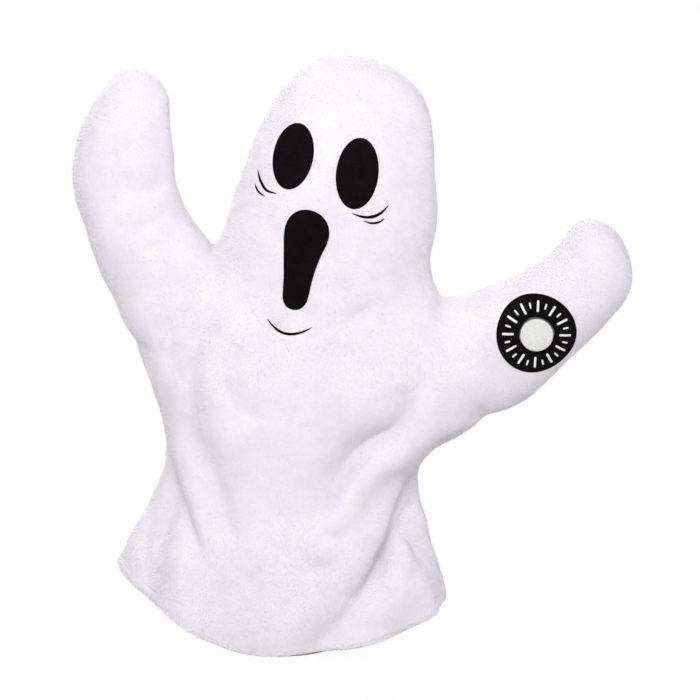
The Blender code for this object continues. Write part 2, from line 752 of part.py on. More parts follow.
def make_base_cover():
    low = TRAY_HEIGHT + FIT_GAP
    profile = (
        (0, low),
        (BASE_RADIUS, low),
        (BASE_RADIUS, BASE_HEIGHT - BASE_EDGE_ROUND),
        (BASE_RADIUS - BASE_EDGE_ROUND / 3, BASE_HEIGHT - BASE_EDGE_ROUND / 3),
        (BASE_RADIUS - BASE_EDGE_ROUND, BASE_HEIGHT),
        (0, BASE_HEIGHT),
    )
    cover = add_piece("base_cover", turned(profile, (0, 0, 0), sides=BASE_SIDES), "base_plastic")
    inner = BASE_RADIUS - SHELL_WALL
    cut(
        cover,
        turned(
            (
                (0, low - CUT_OVERRUN),
                (inner, low - CUT_OVERRUN),
                (inner, BASE_HEIGHT - SHELL_WALL - BASE_EDGE_ROUND / 2),
                (inner - BASE_EDGE_ROUND / 2, BASE_HEIGHT - SHELL_WALL),
                (0, BASE_HEIGHT - SHELL_WALL),
            ),
            (0, 0, 0),
            sides=BASE_SIDES,
        ),
    )
    for number in range(GRILLE_SLOT_COUNT):
        y = SPEAKER_Y + (number - (GRILLE_SLOT_COUNT - 1) / 2) * GRILLE_PITCH
        cut(
            cover,
            box(
                (
                    -GRILLE_SLOT_LENGTH / 2,
                    y - GRILLE_SLOT_WIDTH / 2,
                    BASE_HEIGHT - SHELL_WALL - CUT_OVERRUN,
                ),
                (GRILLE_SLOT_LENGTH / 2, y + GRILLE_SLOT_WIDTH / 2, BASE_HEIGHT + CUT_OVERRUN),
            ),
        )
    for x in (-BOARD_LENGTH / 3, BOARD_LENGTH / 3):
        fuse(
            cover,
            prism(
                circle(x, BOARD_Y, BOARD_POST_RADIUS, SMALL_SIDES),
                BOARD_LOW + BOARD_THICKNESS + FIT_GAP,
                BASE_HEIGHT - SHELL_WALL / 2,
                "Z",
            ),
        )


def make_electrics():
    top = BASE_HEIGHT - SHELL_WALL - FIT_GAP
    low = top - SPEAKER_HEIGHT
    magnet = SPEAKER_RADIUS / 2
    speaker = turned(
        (
            (0, low),
            (magnet, low),
            (magnet, low + SPEAKER_HEIGHT / 2),
            (SPEAKER_RADIUS, top - SPEAKER_HEIGHT / 4),
            (SPEAKER_RADIUS, top),
            (SPEAKER_RADIUS - SPEAKER_RIM_WIDTH, top),
            (magnet, top - SPEAKER_CONE_DEPTH),
            (0, top - SPEAKER_CONE_DEPTH),
        ),
        (0, SPEAKER_Y, 0),
    )
    add_piece("speaker", speaker, "speaker_paper")
    board = add_piece(
        "circuit_board",
        box(
            (-BOARD_LENGTH / 2, BOARD_Y - BOARD_DEPTH / 2, BOARD_LOW),
            (BOARD_LENGTH / 2, BOARD_Y + BOARD_DEPTH / 2, BOARD_LOW + BOARD_THICKNESS),
        ),
        "board",
        smooth=False,
    )
    fuse(
        board,
        box(
            (-BOARD_CHIP / 2, BOARD_Y - BOARD_CHIP / 2, BOARD_LOW + BOARD_THICKNESS / 2),
            (
                BOARD_CHIP / 2,
                BOARD_Y + BOARD_CHIP / 2,
                BOARD_LOW + BOARD_THICKNESS + BOARD_CHIP_HEIGHT,
            ),
        ),
    )
    body_low = SHELL_WALL + FIT_GAP
    body = add_piece(
        "power_switch",
        box(
            (-SWITCH_LENGTH / 2, SWITCH_Y - SWITCH_DEPTH / 2, body_low),
            (SWITCH_LENGTH / 2, SWITCH_Y + SWITCH_DEPTH / 2, body_low + SWITCH_HEIGHT),
        ),
        "steel",
        smooth=False,
    )
    slot_half = (SLIDER_LENGTH + SLIDER_TRAVEL) / 2 + 2 * FIT_GAP
    slider_half = SLIDER_DEPTH / 2
    cut(
        body,
        box(
            (-slot_half, SWITCH_Y - slider_half - FIT_GAP, body_low - CUT_OVERRUN),
            (slot_half, SWITCH_Y + slider_half + FIT_GAP, body_low + SWITCH_HEIGHT / 2),
        ),
    )
    start = -SLIDER_TRAVEL / 2
    slider_pivot = Pivot("slider_pivot", Vector((start, SWITCH_Y, 0)))
    add_piece(
        "switch_slider",
        box(
            (start - SLIDER_LENGTH / 2, SWITCH_Y - slider_half, SLIDER_RECESS),
            (
                start + SLIDER_LENGTH / 2,
                SWITCH_Y + slider_half,
                body_low + SWITCH_HEIGHT / 2 - FIT_GAP,
            ),
        ),
        "base_plastic",
        slider_pivot,
        smooth=False,
    )


# Gearbox, gears, crank and motor
def make_gearbox():
    foot_z = BASE_HEIGHT + FIT_GAP
    foot_disc_z = foot_z + GEARBOX_CORNER
    discs = (
        (CRANK_AXIS.x, CRANK_AXIS.z, OUTPUT_RADIUS + 2 * GEAR_MODULE),
        (LEFT_POST_X, LEFT_POST_Z, 2 * POST_RADIUS),
        (RIGHT_POST_X, RIGHT_POST_Z, 2 * POST_RADIUS),
        (-GEARBOX_FOOT_X, foot_disc_z, GEARBOX_CORNER),
        (LEFT_POST_X, foot_disc_z, GEARBOX_CORNER),
    )
    walls = (
        ("gearbox_front_plate", GEARBOX_FRONT_Y, INNER_FRONT_Y, 1),
        ("gearbox_back_plate", INNER_BACK_Y, GEARBOX_BACK_Y, -1),
    )
    for name, low, high, foot_side in walls:
        plate = add_piece(name, hull_plate(discs, low, high), "frame_plastic")
        foot_y = (low + GEARBOX_WALL / 2, high + GEARBOX_FOOT_DEPTH) if foot_side < 0 else (
            low - GEARBOX_FOOT_DEPTH, high - GEARBOX_WALL / 2)
        fuse(
            plate,
            box(
                (-GEARBOX_FOOT_X, foot_y[0], foot_z),
                (LEFT_POST_X, foot_y[1], foot_z + GEARBOX_WALL),
            ),
        )
        for centre, radius in (
            (HIP, AXLE_RADIUS), (CRANK_AXIS, SHAFT_RADIUS), (MIDDLE_AXIS, SHAFT_RADIUS)
        ):
            cut(
                plate,
                rod_along_y(
                    centre.x,
                    centre.z,
                    radius + FIT_GAP,
                    low - CUT_OVERRUN,
                    high + CUT_OVERRUN,
                    SMALL_SIDES,
                ),
            )
        if foot_side < 0:
            for side in (-1, 1):
                fuse(plate, rod_along_y(side * ANCHOR_X, HIP_HEIGHT, LEVER_PIN_RADIUS,
                                        low + GEARBOX_WALL / 2, FRAME_Y - FIT_GAP, SMALL_SIDES))
    for name, x, z in (
        ("gearbox_post_left", LEFT_POST_X, LEFT_POST_Z),
        ("gearbox_post_right", RIGHT_POST_X, RIGHT_POST_Z),
    ):
        add_piece(
            name,
            rod_along_y(
                x, z, POST_RADIUS, INNER_FRONT_Y + FIT_GAP, INNER_BACK_Y - FIT_GAP, SMALL_SIDES
            ),
            "frame_plastic",
        )
    axle_front = DRIVE_PLATE_Y - FIT_GAP - AXLE_HEAD_THICKNESS
    axle_back = FRAME_Y + PLATE_THICKNESS + AXLE_HEAD_THICKNESS
    head_back = axle_front + AXLE_HEAD_THICKNESS
    axle = turned(
        (
            (0, axle_front),
            (AXLE_HEAD_RADIUS, axle_front),
            (AXLE_HEAD_RADIUS, head_back),
            (AXLE_RADIUS, head_back),
            (AXLE_RADIUS, axle_back),
            (0, axle_back),
        ),
        HIP,
        "Y",
    )
    add_piece("hip_axle", axle, "steel")
    pin = rod_along_y(
        MIDDLE_AXIS.x, MIDDLE_AXIS.z, SHAFT_RADIUS, GEARBOX_FRONT_Y, GEARBOX_BACK_Y, SMALL_SIDES
    )
    add_piece("middle_shaft", pin, "steel")


def make_gears():
    crank_pivot = Pivot("crank_pivot", CRANK_AXIS)
    middle_pivot = Pivot("middle_pivot", MIDDLE_AXIS)
    toward_middle = math.atan2(MIDDLE_AXIS.z - CRANK_AXIS.z, MIDDLE_AXIS.x - CRANK_AXIS.x)
    gear = add_piece(
        "output_gear",
        prism(
            gear_outline(OUTPUT_TEETH, GEAR_MODULE, CRANK_AXIS, toward_middle),
            OUTPUT_FRONT_Y,
            OUTPUT_BACK_Y,
        ),
        "gear_plastic",
        crank_pivot,
    )
    cut(
        gear,
        rod_along_y(
            CRANK_AXIS.x,
            CRANK_AXIS.z,
            SHAFT_RADIUS + FIT_GAP,
            OUTPUT_FRONT_Y - CUT_OVERRUN,
            OUTPUT_BACK_Y + CUT_OVERRUN,
            SMALL_SIDES,
        ),
        crank_pivot,
    )
    for hole_x, hole_z in circle(
        CRANK_AXIS.x, CRANK_AXIS.z, GEAR_HOLE_REACH, GEAR_HOLES, math.pi / GEAR_HOLES
    ):
        cut(
            gear,
            rod_along_y(
                hole_x,
                hole_z,
                GEAR_HOLE_RADIUS,
                OUTPUT_FRONT_Y - CUT_OVERRUN,
                OUTPUT_BACK_Y + CUT_OVERRUN,
                SMALL_SIDES,
            ),
            crank_pivot,
        )
    disc_front = GEARBOX_FRONT_Y - PLATE_THICKNESS - FIT_GAP
    shaft_back = GEARBOX_BACK_Y
    shaft = turned(
        (
            (0, disc_front),
            (CRANK_DISC_RADIUS, disc_front),
            (CRANK_DISC_RADIUS, GEARBOX_FRONT_Y - FIT_GAP),
            (SHAFT_RADIUS, GEARBOX_FRONT_Y - FIT_GAP),
            (SHAFT_RADIUS, shaft_back),
            (0, shaft_back),
        ),
        CRANK_AXIS,
        "Y",
    )
    crank = add_piece("crank_shaft", shaft, "gear_plastic", crank_pivot)
    lean = math.radians(REST_LEAN_DEG)
    pin_x = CRANK_AXIS.x + CRANK_THROW * math.cos(lean)
    pin_z = CRANK_AXIS.z - CRANK_THROW * math.sin(lean)
    fuse(
        crank,
        rod_along_y(
            pin_x,
            pin_z,
            CRANK_PIN_RADIUS,
            DRIVE_PLATE_Y + PLATE_THICKNESS + FIT_GAP,
            disc_front + PLATE_THICKNESS / 2,
            SMALL_SIDES,
        ),
        crank_pivot,
    )
    half_tooth = math.pi / PINION_TEETH
    pinion_start = toward_middle + math.pi + half_tooth
    pinion = gear_outline(PINION_TEETH, GEAR_MODULE, MIDDLE_AXIS, pinion_start)
    middle = add_piece(
        "reduction_gear",
        prism(pinion, OUTPUT_FRONT_Y, WHEEL_FRONT_Y + WHEEL_WIDTH / 2),
        "gear_plastic",
        middle_pivot,
    )
    wheel_start = math.pi / WORM_WHEEL_TEETH
    wheel = gear_outline(WORM_WHEEL_TEETH, WORM_WHEEL_MODULE, MIDDLE_AXIS, wheel_start)
    fuse(middle, prism(wheel, WHEEL_FRONT_Y, WHEEL_BACK_Y), middle_pivot)
    cut(
        middle,
        rod_along_y(
            MIDDLE_AXIS.x,
            MIDDLE_AXIS.z,
            SHAFT_RADIUS + FIT_GAP,
            OUTPUT_FRONT_Y - CUT_OVERRUN,
            WHEEL_BACK_Y + CUT_OVERRUN,
            SMALL_SIDES,
        ),
        middle_pivot,
    )
    make_worm()


def make_worm():
    """Single-start worm: each ring is a section of the thread, turned as it climbs."""
    pitch = math.pi * WORM_WHEEL_MODULE
    centre_z = MIDDLE_AXIS.z
    worm_pivot = Pivot("worm_pivot", Vector((WORM_X, WORM_Y, centre_z)))
    outer = WORM_PITCH_RADIUS + WORM_THREAD_DEPTH / 2
    ring_count = int(round(WORM_LENGTH / pitch * WORM_TURN_RINGS))
    bm = bmesh.new()
    low = centre_z - WORM_LENGTH / 2
    high = low + WORM_LENGTH
    rings = [[bm.verts.new((WORM_X, WORM_Y, low))]]
    for index in range(ring_count + 1):
        z = low + WORM_LENGTH * index / ring_count
        ring = []
        for corner in range(WORM_SIDES):
            angle = 2 * math.pi * corner / WORM_SIDES
            turn_share = (z - centre_z) / pitch - (angle - math.pi) / (2 * math.pi)
            off_crest = abs((turn_share + 0.5) % 1.0 - 0.5) - WORM_CREST_SHARE
            height = 1 - max(0.0, min(1.0, off_crest / WORM_FLANK_SHARE))
            radius = outer - WORM_THREAD_DEPTH * (1 - height)
            ring.append(
                bm.verts.new(
                    (WORM_X + radius * math.cos(angle), WORM_Y + radius * math.sin(angle), z)
                )
            )
        rings.append(ring)
    rings.append([bm.verts.new((WORM_X, WORM_Y, high))])
    for lower, upper in zip(rings, rings[1:]):
        join_rings(bm, lower, upper)
    worm = add_piece("motor_worm", bm, "gear_plastic", worm_pivot)
    cut(worm, prism(circle(WORM_X, WORM_Y, MOTOR_SHAFT_RADIUS + FIT_GAP, SMALL_SIDES),
                    low - CUT_OVERRUN, high + CUT_OVERRUN, "Z"), worm_pivot)
    make_motor(worm_pivot, high)


def make_motor(worm_pivot, shaft_top):
    """Flat-sided can, and the rotor that turns in it and carries the worm."""
    outline = []
    for a, b in circle(0, 0, MOTOR_RADIUS):
        outline.append((WORM_X + a, WORM_Y + max(-MOTOR_HALF_DEPTH, min(MOTOR_HALF_DEPTH, b))))
    motor = add_piece("motor", prism(outline, MOTOR_LOW, MOTOR_TOP, "Z"), "steel")
    floor = MOTOR_LOW + MOTOR_WALL
    roof = MOTOR_TOP - MOTOR_WALL
    room = MOTOR_HALF_DEPTH - MOTOR_WALL
    bore = MOTOR_SHAFT_RADIUS + FIT_GAP
    hollow = turned(
        (
            (0, floor),
            (room, floor),
            (room, roof),
            (bore, roof),
            (bore, MOTOR_TOP + CUT_OVERRUN),
            (0, MOTOR_TOP + CUT_OVERRUN),
        ),
        (WORM_X, WORM_Y, 0),
    )
    cut(motor, hollow)
    drum = room - FIT_GAP - MOTOR_WALL / 4
    drum_low = floor + MOTOR_END_ROOM
    drum_high = roof - MOTOR_END_ROOM
    shaft = MOTOR_SHAFT_RADIUS
    rotor = turned(
        (
            (0, floor + FIT_GAP),
            (shaft, floor + FIT_GAP),
            (shaft, drum_low),
            (drum, drum_low),
            (drum, drum_high),
            (shaft, drum_high),
            (shaft, shaft_top),
            (0, shaft_top),
        ),
        (WORM_X, WORM_Y, 0),
    )
    add_piece("motor_rotor", rotor, "steel", worm_pivot)


# Swaying frame of the torso
def make_torso_frame(hip):
    back = FRAME_Y + PLATE_THICKNESS
    spine_top = NECK_Z - SPINE_RADIUS
    frame = add_piece(
        "torso_frame",
        hull_plate(((0, HIP_HEIGHT, HUB_RADIUS), (0, spine_top, SPINE_RADIUS)), FRAME_Y, back),
        "frame_plastic",
        hip,
    )
    fuse(
        frame,
        hull_plate(
            ((-SHOULDER_X, SHOULDER_Z, HUB_RADIUS), (SHOULDER_X, SHOULDER_Z, HUB_RADIUS)),
            FRAME_Y,
            back,
        ),
        hip,
    )
    for side in (-1, 1):
        fuse(
            frame,
            hull_plate(
                (
                    (0, SHOULDER_Z - BRACE_DROP, BRACE_RADIUS),
                    (side * BRACE_REACH, SHOULDER_Z, BRACE_RADIUS),
                ),
                FRAME_Y,
                back,
                sides=SMALL_SIDES,
            ),
            hip,
        )
        fuse(
            frame,
            hull_plate(
                ((0, SPACER_Z, SPINE_RADIUS), (side * SPACER_X, SPACER_Z, DRIVE_LUG_RADIUS)),
                FRAME_Y,
                back,
                sides=SMALL_SIDES,
            ),
            hip,
        )
    cut(
        frame,
        rod_along_y(
            0,
            HIP_HEIGHT,
            AXLE_RADIUS + FIT_GAP,
            FRAME_Y - CUT_OVERRUN,
            back + CUT_OVERRUN,
            SMALL_SIDES,
        ),
        hip,
    )
    for side in (-1, 1):
        cut(
            frame,
            rod_along_y(
                side * SHOULDER_X,
                SHOULDER_Z,
                SHOULDER_PIN_RADIUS + FIT_GAP,
                FRAME_Y - CUT_OVERRUN,
                back + CUT_OVERRUN,
                SMALL_SIDES,
            ),
            hip,
        )
    plate_back = DRIVE_PLATE_Y + PLATE_THICKNESS
    drive = add_piece(
        "drive_plate",
        hull_plate(
            (
                (0, HIP_HEIGHT, HUB_RADIUS),
                (-SPACER_X, SPACER_Z, DRIVE_LUG_RADIUS),
                (SPACER_X, SPACER_Z, DRIVE_LUG_RADIUS),
            ),
            DRIVE_PLATE_Y,
            plate_back,
        ),
        "frame_plastic",
        hip,
    )
    cut(
        drive,
        rod_along_y(
            0,
            HIP_HEIGHT,
            AXLE_RADIUS + FIT_GAP,
            DRIVE_PLATE_Y - CUT_OVERRUN,
            plate_back + CUT_OVERRUN,
            SMALL_SIDES,
        ),
        hip,
    )
    slot_radius = CRANK_PIN_RADIUS + FIT_GAP
    cut(
        drive,
        hull_plate(
            (
                (0, CRANK_AXIS.z - SLOT_HALF_LENGTH, slot_radius),
                (0, CRANK_AXIS.z + SLOT_HALF_LENGTH, slot_radius),
            ),
            DRIVE_PLATE_Y - CUT_OVERRUN,
            plate_back + CUT_OVERRUN,
        ),
        hip,
    )
    for side, name in ((-1, "right"), (1, "left")):
        x = side * SPACER_X
        add_piece(
            f"frame_spacer_{name}",
            rod_along_y(
                x, SPACER_Z, SPACER_RADIUS, plate_back + FIT_GAP, FRAME_Y - FIT_GAP, SMALL_SIDES
            ),
            "frame_plastic",
            hip,
        )
        pin_front = BONE_FRONT_Y - AXLE_HEAD_THICKNESS - FIT_GAP
        pin_back = back + AXLE_HEAD_THICKNESS
        head_back = BONE_FRONT_Y - FIT_GAP
        pin = turned(
            (
                (0, pin_front),
                (AXLE_HEAD_RADIUS, pin_front),
                (AXLE_HEAD_RADIUS, head_back),
                (SHOULDER_PIN_RADIUS, head_back),
                (SHOULDER_PIN_RADIUS, pin_back),
                (0, pin_back),
            ),
            Vector((side * SHOULDER_X, 0, SHOULDER_Z)),
            "Y",
            SMALL_SIDES,
        )
        add_piece(f"shoulder_pin_{name}", pin, "steel", hip)


def make_head_disc(hip):
    low = NECK_Z + FIT_GAP
    depth_share = HEAD_DISC_HALF_DEPTH / HEAD_DISC_RADIUS
    outline = [(a, b * depth_share) for a, b in circle(0, 0, HEAD_DISC_RADIUS)]
    disc = add_piece(
        "head_disc", prism(outline, low, low + HEAD_DISC_THICKNESS, "Z"), "frame_plastic", hip
    )
    lug_back = FRAME_Y - FIT_GAP
    lug_front = lug_back - HEAD_LUG_THICKNESS
    fuse(
        disc,
        box(
            (-HEAD_LUG_WIDTH / 2, lug_front, NECK_Z - HEAD_LUG_HEIGHT),
            (HEAD_LUG_WIDTH / 2, lug_back, low + HEAD_DISC_THICKNESS / 2),
        ),
        hip,
    )
    screw_z = NECK_Z - HEAD_LUG_HEIGHT / 2
    head_front = lug_front - FIT_GAP - FRAME_SCREW_HEAD_THICKNESS
    head_back = lug_front - FIT_GAP
    screw_end = FRAME_Y + PLATE_THICKNESS
    hole = FRAME_SCREW_RADIUS + FIT_GAP
    cut(
        disc,
        rod_along_y(0, screw_z, hole, lug_front - CUT_OVERRUN, lug_back + CUT_OVERRUN, SMALL_SIDES),
        hip,
    )
    cut(
        bpy.data.objects["torso_frame"],
        rod_along_y(0, screw_z, hole, FRAME_Y - CUT_OVERRUN, screw_end + CUT_OVERRUN, SMALL_SIDES),
        hip,
    )
    screw = turned(
        (
            (0, head_front),
            (FRAME_SCREW_HEAD, head_front),
            (FRAME_SCREW_HEAD, head_back),
            (FRAME_SCREW_RADIUS, head_back),
            (FRAME_SCREW_RADIUS, screw_end),
            (0, screw_end),
        ),
        Vector((0, 0, screw_z)),
        "Y",
        SMALL_SIDES,
    )
    add_piece("head_disc_screw", screw, "steel", hip)


# Arm bones and push rods
def arm_direction(angle_deg):
    angle = math.radians(angle_deg)
    return Vector((math.sin(angle), 0.0, math.cos(angle)))


def lever_pin_place(side):
    """Where the lever pin lies at rest in the torso's upright frame."""
    shoulder = Vector((side * SHOULDER_X, 0.0, SHOULDER_Z))
    return shoulder + turn_y(REST_ARM_DEG).to_3x3() @ Vector((-side * LEVER_REACH, 0.0, 0.0))


def make_bone(side, name, angle_deg, reach, pivot):
    shoulder = pivot.drawn_at
    tip = shoulder + arm_direction(angle_deg) * reach
    pin = lever_pin_place(side)
    bone = add_piece(
        f"{name}_arm_bone",
        hull_plate(
            ((shoulder.x, shoulder.z, BONE_ROOT_RADIUS), (tip.x, tip.z, BONE_TIP_RADIUS)),
            BONE_FRONT_Y,
            BONE_BACK_Y,
        ),
        "frame_plastic",
        pivot,
    )
    fuse(
        bone,
        hull_plate(
            ((shoulder.x, shoulder.z, BONE_ROOT_RADIUS), (pin.x, pin.z, LEVER_RADIUS)),
            BONE_FRONT_Y,
            BONE_BACK_Y,
        ),
        pivot,
    )
    fuse(
        bone,
        rod_along_y(
            pin.x,
            pin.z,
            LEVER_PIN_RADIUS,
            BONE_FRONT_Y + PLATE_THICKNESS,
            FRAME_Y - 2 * FIT_GAP,
            SMALL_SIDES,
        ),
        pivot,
    )
    cut(
        bone,
        rod_along_y(
            shoulder.x,
            shoulder.z,
            SHOULDER_PIN_RADIUS + FIT_GAP,
            BONE_FRONT_Y - CUT_OVERRUN,
            BONE_BACK_Y + CUT_OVERRUN,
            SMALL_SIDES,
        ),
        pivot,
    )


def make_rod(side, name):
    anchor = Vector((side * ANCHOR_X, 0.0, HIP_HEIGHT))
    pin = HIP + turn_y(REST_LEAN_DEG).to_3x3() @ (lever_pin_place(side) - HIP)
    pivot = Pivot(f"{name}_rod_pivot", anchor)
    back = ROD_Y + ROD_THICKNESS
    rod = add_piece(
        f"{name}_push_rod",
        hull_plate(
            ((anchor.x, anchor.z, ROD_RADIUS), (pin.x, pin.z, ROD_RADIUS)),
            ROD_Y,
            back,
            sides=SMALL_SIDES,
        ),
        "frame_plastic",
        pivot,
    )
    for centre in (anchor, pin):
        fuse(rod, rod_along_y(centre.x, centre.z, ROD_EYE_RADIUS, ROD_Y, back), pivot)
    cut(
        rod,
        rod_along_y(
            anchor.x,
            anchor.z,
            LEVER_PIN_RADIUS + FIT_GAP,
            ROD_Y - CUT_OVERRUN,
            back + CUT_OVERRUN,
            SMALL_SIDES,
        ),
        pivot,
    )
    cut(
        rod,
        rod_along_y(
            pin.x,
            pin.z,
            LEVER_PIN_RADIUS + OPEN_PIVOT_CLEARANCE,
            ROD_Y - CUT_OVERRUN,
            back + CUT_OVERRUN,
            SMALL_SIDES,
        ),
        pivot,
    )


# Fleece cover of torso and head
def cover_row(share):
    """Edges and half depth of the cover at one share of its height."""
    rows = COVER_ROW_SHARES
    for lower, upper in zip(rows, rows[1:]):
        if share <= upper[0]:
            blend = (share - lower[0]) / (upper[0] - lower[0])
            left, right, depth = (a + (b - a) * blend for a, b in zip(lower[1:], upper[1:]))
            return left * COVER_HALF_WIDTH, right * COVER_HALF_WIDTH, depth * COVER_HALF_DEPTH
    return tuple(
        value * size
        for value, size in zip(rows[-1][1:], (COVER_HALF_WIDTH, COVER_HALF_WIDTH, COVER_HALF_DEPTH))
    )


def round_section(angle, roundness):
    cosine, sine = math.cos(angle), math.sin(angle)
    power = 2 / roundness
    return math.copysign(abs(cosine) ** power, cosine), math.copysign(abs(sine) ** power, sine)


def skirt_valley(turn_share, height_share):
    """How deep in a fold a place on the cover lies, from 0 to about 1."""
    valley = 0.0
    for foot, depth, top, top_height in SKIRT_FOLD_SHARES:
        climb = min(1.0, height_share / top_height)
        apart = (turn_share - foot - (top - foot) * climb + 0.5) % 1.0 - 0.5
        fade = (1 - climb) ** SKIRT_FOLD_FADE_SHARE
        valley += depth * fade * math.exp(-((apart / SKIRT_FOLD_WIDTH_SHARE) ** 2))
    return valley


def cover_point(share, angle, inset):
    left, right, depth = cover_row(share)
    nominal = share * COVER_HEIGHT
    across, along = round_section(angle, COVER_ROUNDNESS)
    rise = HEM_CLEARANCE + HEM_RISE * abs(across) ** HEM_CURVE
    hem_part = max(0.0, 1 - nominal / HEM_RISE_END)
    fold = -SKIRT_FOLD_DEPTH * skirt_valley(angle / (2 * math.pi), share)
    half = (right - left) / 2 + fold - inset
    return Vector(
        (
            (left + right) / 2 + half * across,
            (depth + fold - inset) * along,
            nominal + rise * hem_part,
        )
    )


def cover_rings(bm, shares, inset):
    step = 2 * math.pi / COVER_SIDES
    rings = []
    for share in shares:
        ring = [cover_point(share, step * index, inset) for index in range(COVER_SIDES)]
        rings.append([bm.verts.new(point) for point in ring])
    crown = Vector((CROWN_X_SHARE * COVER_HALF_WIDTH, 0.0, COVER_HEIGHT - inset))
    rings.append([bm.verts.new(crown)])
    return rings


def make_cover(hip):
    shares = [row[0] for row in COVER_ROW_SHARES]
    bm = bmesh.new()
    outer = cover_rings(bm, shares, 0.0)
    inner = cover_rings(bm, shares, CLOTH_THICKNESS)
    for rings in (outer, inner):
        for lower, upper in zip(rings, rings[1:]):
            join_rings(bm, lower, upper)
    join_rings(bm, outer[0], inner[0])
    cover = add_piece("torso_cover", bm, "fleece", hip)
    reach = COVER_HALF_DEPTH + CUT_OVERRUN
    for side, angle_deg, length, rows in ARMS:
        shoulder = Vector((side * SHOULDER_X, 0.0, SHOULDER_Z))
        cut(
            cover,
            rod_along_y(
                shoulder.x, shoulder.z, ARM_ROOT_RADIUS + ARM_SEAT_GAP, -reach, reach, BASE_SIDES
            ),
            hip,
        )
        for swing_deg in SWAY_STEPS_DEG:
            outline = limb_outline(side, angle_deg + swing_deg, length, rows, ARM_SEAT_GAP)
            cut(cover, prism(outline, -reach, reach), hip)


def make_stuffing(hip):
    bm = bmesh.new()
    bottom_share = STUFFING_BOTTOM / COVER_HEIGHT
    shares = [bottom_share] + [row[0] for row in COVER_ROW_SHARES if row[0] > bottom_share]
    rings = cover_rings(bm, shares, CLOTH_THICKNESS + 2 * FIT_GAP)
    for lower, upper in zip(rings, rings[1:]):
        join_rings(bm, lower, upper)
    bm.faces.new(rings[0])
    add_piece("head_stuffing", bm, "stuffing", hip)


# Fleece arms
ARMS = (
    (-1, RIGHT_ARM_ANGLE_DEG, RIGHT_ARM_LENGTH, RIGHT_ARM_SHARES),
    (1, LEFT_ARM_ANGLE_DEG, LEFT_ARM_LENGTH, LEFT_ARM_SHARES),
)


def limb_rows(length, rows):
    """Stations of (along, inner edge, outer edge, half depth): a round root, then the arm."""
    stations = []
    for number in range(ROOT_ROWS):
        angle = math.pi / 2 * (number + 0.5) / ROOT_ROWS
        half = ARM_ROOT_RADIUS * math.sin(angle)
        stations.append((-ARM_ROOT_RADIUS * math.cos(angle), -half, half, ARM_DEPTH))
    for along, inner, outer, depth in rows:
        inner_edge = inner * ARM_ROOT_RADIUS
        outer_edge = outer * ARM_ROOT_RADIUS
        stations.append((along * length, inner_edge, outer_edge, depth * ARM_DEPTH))
    return stations


def limb_place(side, angle_deg, along, across):
    shoulder = Vector((side * SHOULDER_X, 0.0, SHOULDER_Z))
    direction = arm_direction(angle_deg)
    outward = Vector((side * direction.z, 0.0, -side * direction.x))
    return shoulder + direction * along + outward * across


def limb_outline(side, angle_deg, length, rows, grow):
    """Front view of the arm beyond its round root."""
    stations = limb_rows(length, rows)[ROOT_ROWS:]
    inner = [limb_place(side, angle_deg, row[0], row[1] - grow) for row in stations]
    outer = [limb_place(side, angle_deg, row[0], row[2] + grow) for row in stations]
    return [(point.x, point.z) for point in inner + outer[::-1]]


def limb_surface_y(side, angle_deg, length, rows, x, z):
    """Front surface of the arm at a point of its front view."""
    shoulder = Vector((side * SHOULDER_X, 0.0, SHOULDER_Z))
    direction = arm_direction(angle_deg)
    outward = Vector((side * direction.z, 0.0, -side * direction.x))
    offset = Vector((x, 0.0, z)) - shoulder
    along, across = offset.dot(direction), offset.dot(outward)
    stations = limb_rows(length, rows)
    for lower, upper in zip(stations, stations[1:]):
        if along <= upper[0]:
            break
    blend = (along - lower[0]) / (upper[0] - lower[0])
    inner, outer, depth = (a + (b - a) * blend for a, b in zip(lower[1:], upper[1:]))
    offset_share = min(EDGE_SHARE, abs(2 * across - inner - outer) / (outer - inner))
    return -depth * (1 - offset_share**ARM_ROUNDNESS) ** (1 / ARM_ROUNDNESS)


def make_arm(side, name, angle_deg, length, rows, reach, pivot):
    bm = bmesh.new()
    rings = []
    step = 2 * math.pi / ARM_SIDES
    stations = limb_rows(length, rows)
    root = limb_place(side, angle_deg, -ARM_ROOT_RADIUS, 0.0)
    rings.append([bm.verts.new(root)])
    for along, inner, outer, depth in stations:
        ring = []
        for index in range(ARM_SIDES):
            across, deep = round_section(step * index, ARM_ROUNDNESS)
            middle = (inner + outer) / 2
            place = limb_place(side, angle_deg, along, middle + (outer - inner) / 2 * across)
            ring.append(bm.verts.new((place.x, depth * deep, place.z)))
        rings.append(ring)
    last = stations[-1]
    rings.append([bm.verts.new(limb_place(side, angle_deg, length, (last[1] + last[2]) / 2))])
    for lower, upper in zip(rings, rings[1:]):
        join_rings(bm, lower, upper)
    arm = add_piece(f"{name}_arm_plush", bm, "fleece", pivot)
    if side > 0:
        press = press_centre()
        pocket = circle(press.x, press.z, PRESS_POCKET_RADIUS, start=math.pi / ROUND_SIDES / 2)
        cut(arm, prism(pocket, -COVER_HALF_DEPTH, PRESS_SWITCH_BACK_Y + FIT_GAP), pivot)
    shoulder = pivot.drawn_at
    inboard = shoulder.x - side * (ARM_ROOT_RADIUS + CUT_OVERRUN)
    low_x, high_x = sorted((inboard, shoulder.x + side * CAVITY_OUTBOARD))
    cut(
        arm,
        box(
            (low_x, CAVITY_FRONT_Y, shoulder.z - CAVITY_FALL),
            (high_x, CAVITY_BACK_Y, shoulder.z + CAVITY_RISE),
        ),
        pivot,
    )
    tip = shoulder + arm_direction(angle_deg) * reach
    cut(
        arm,
        hull_plate(
            ((shoulder.x, shoulder.z, BONE_ROOT_RADIUS), (tip.x, tip.z, BONE_TIP_RADIUS)),
            BONE_FRONT_Y - FIT_GAP,
            BONE_BACK_Y + FIT_GAP,
            grow=FIT_GAP,
        ),
        pivot,
    )


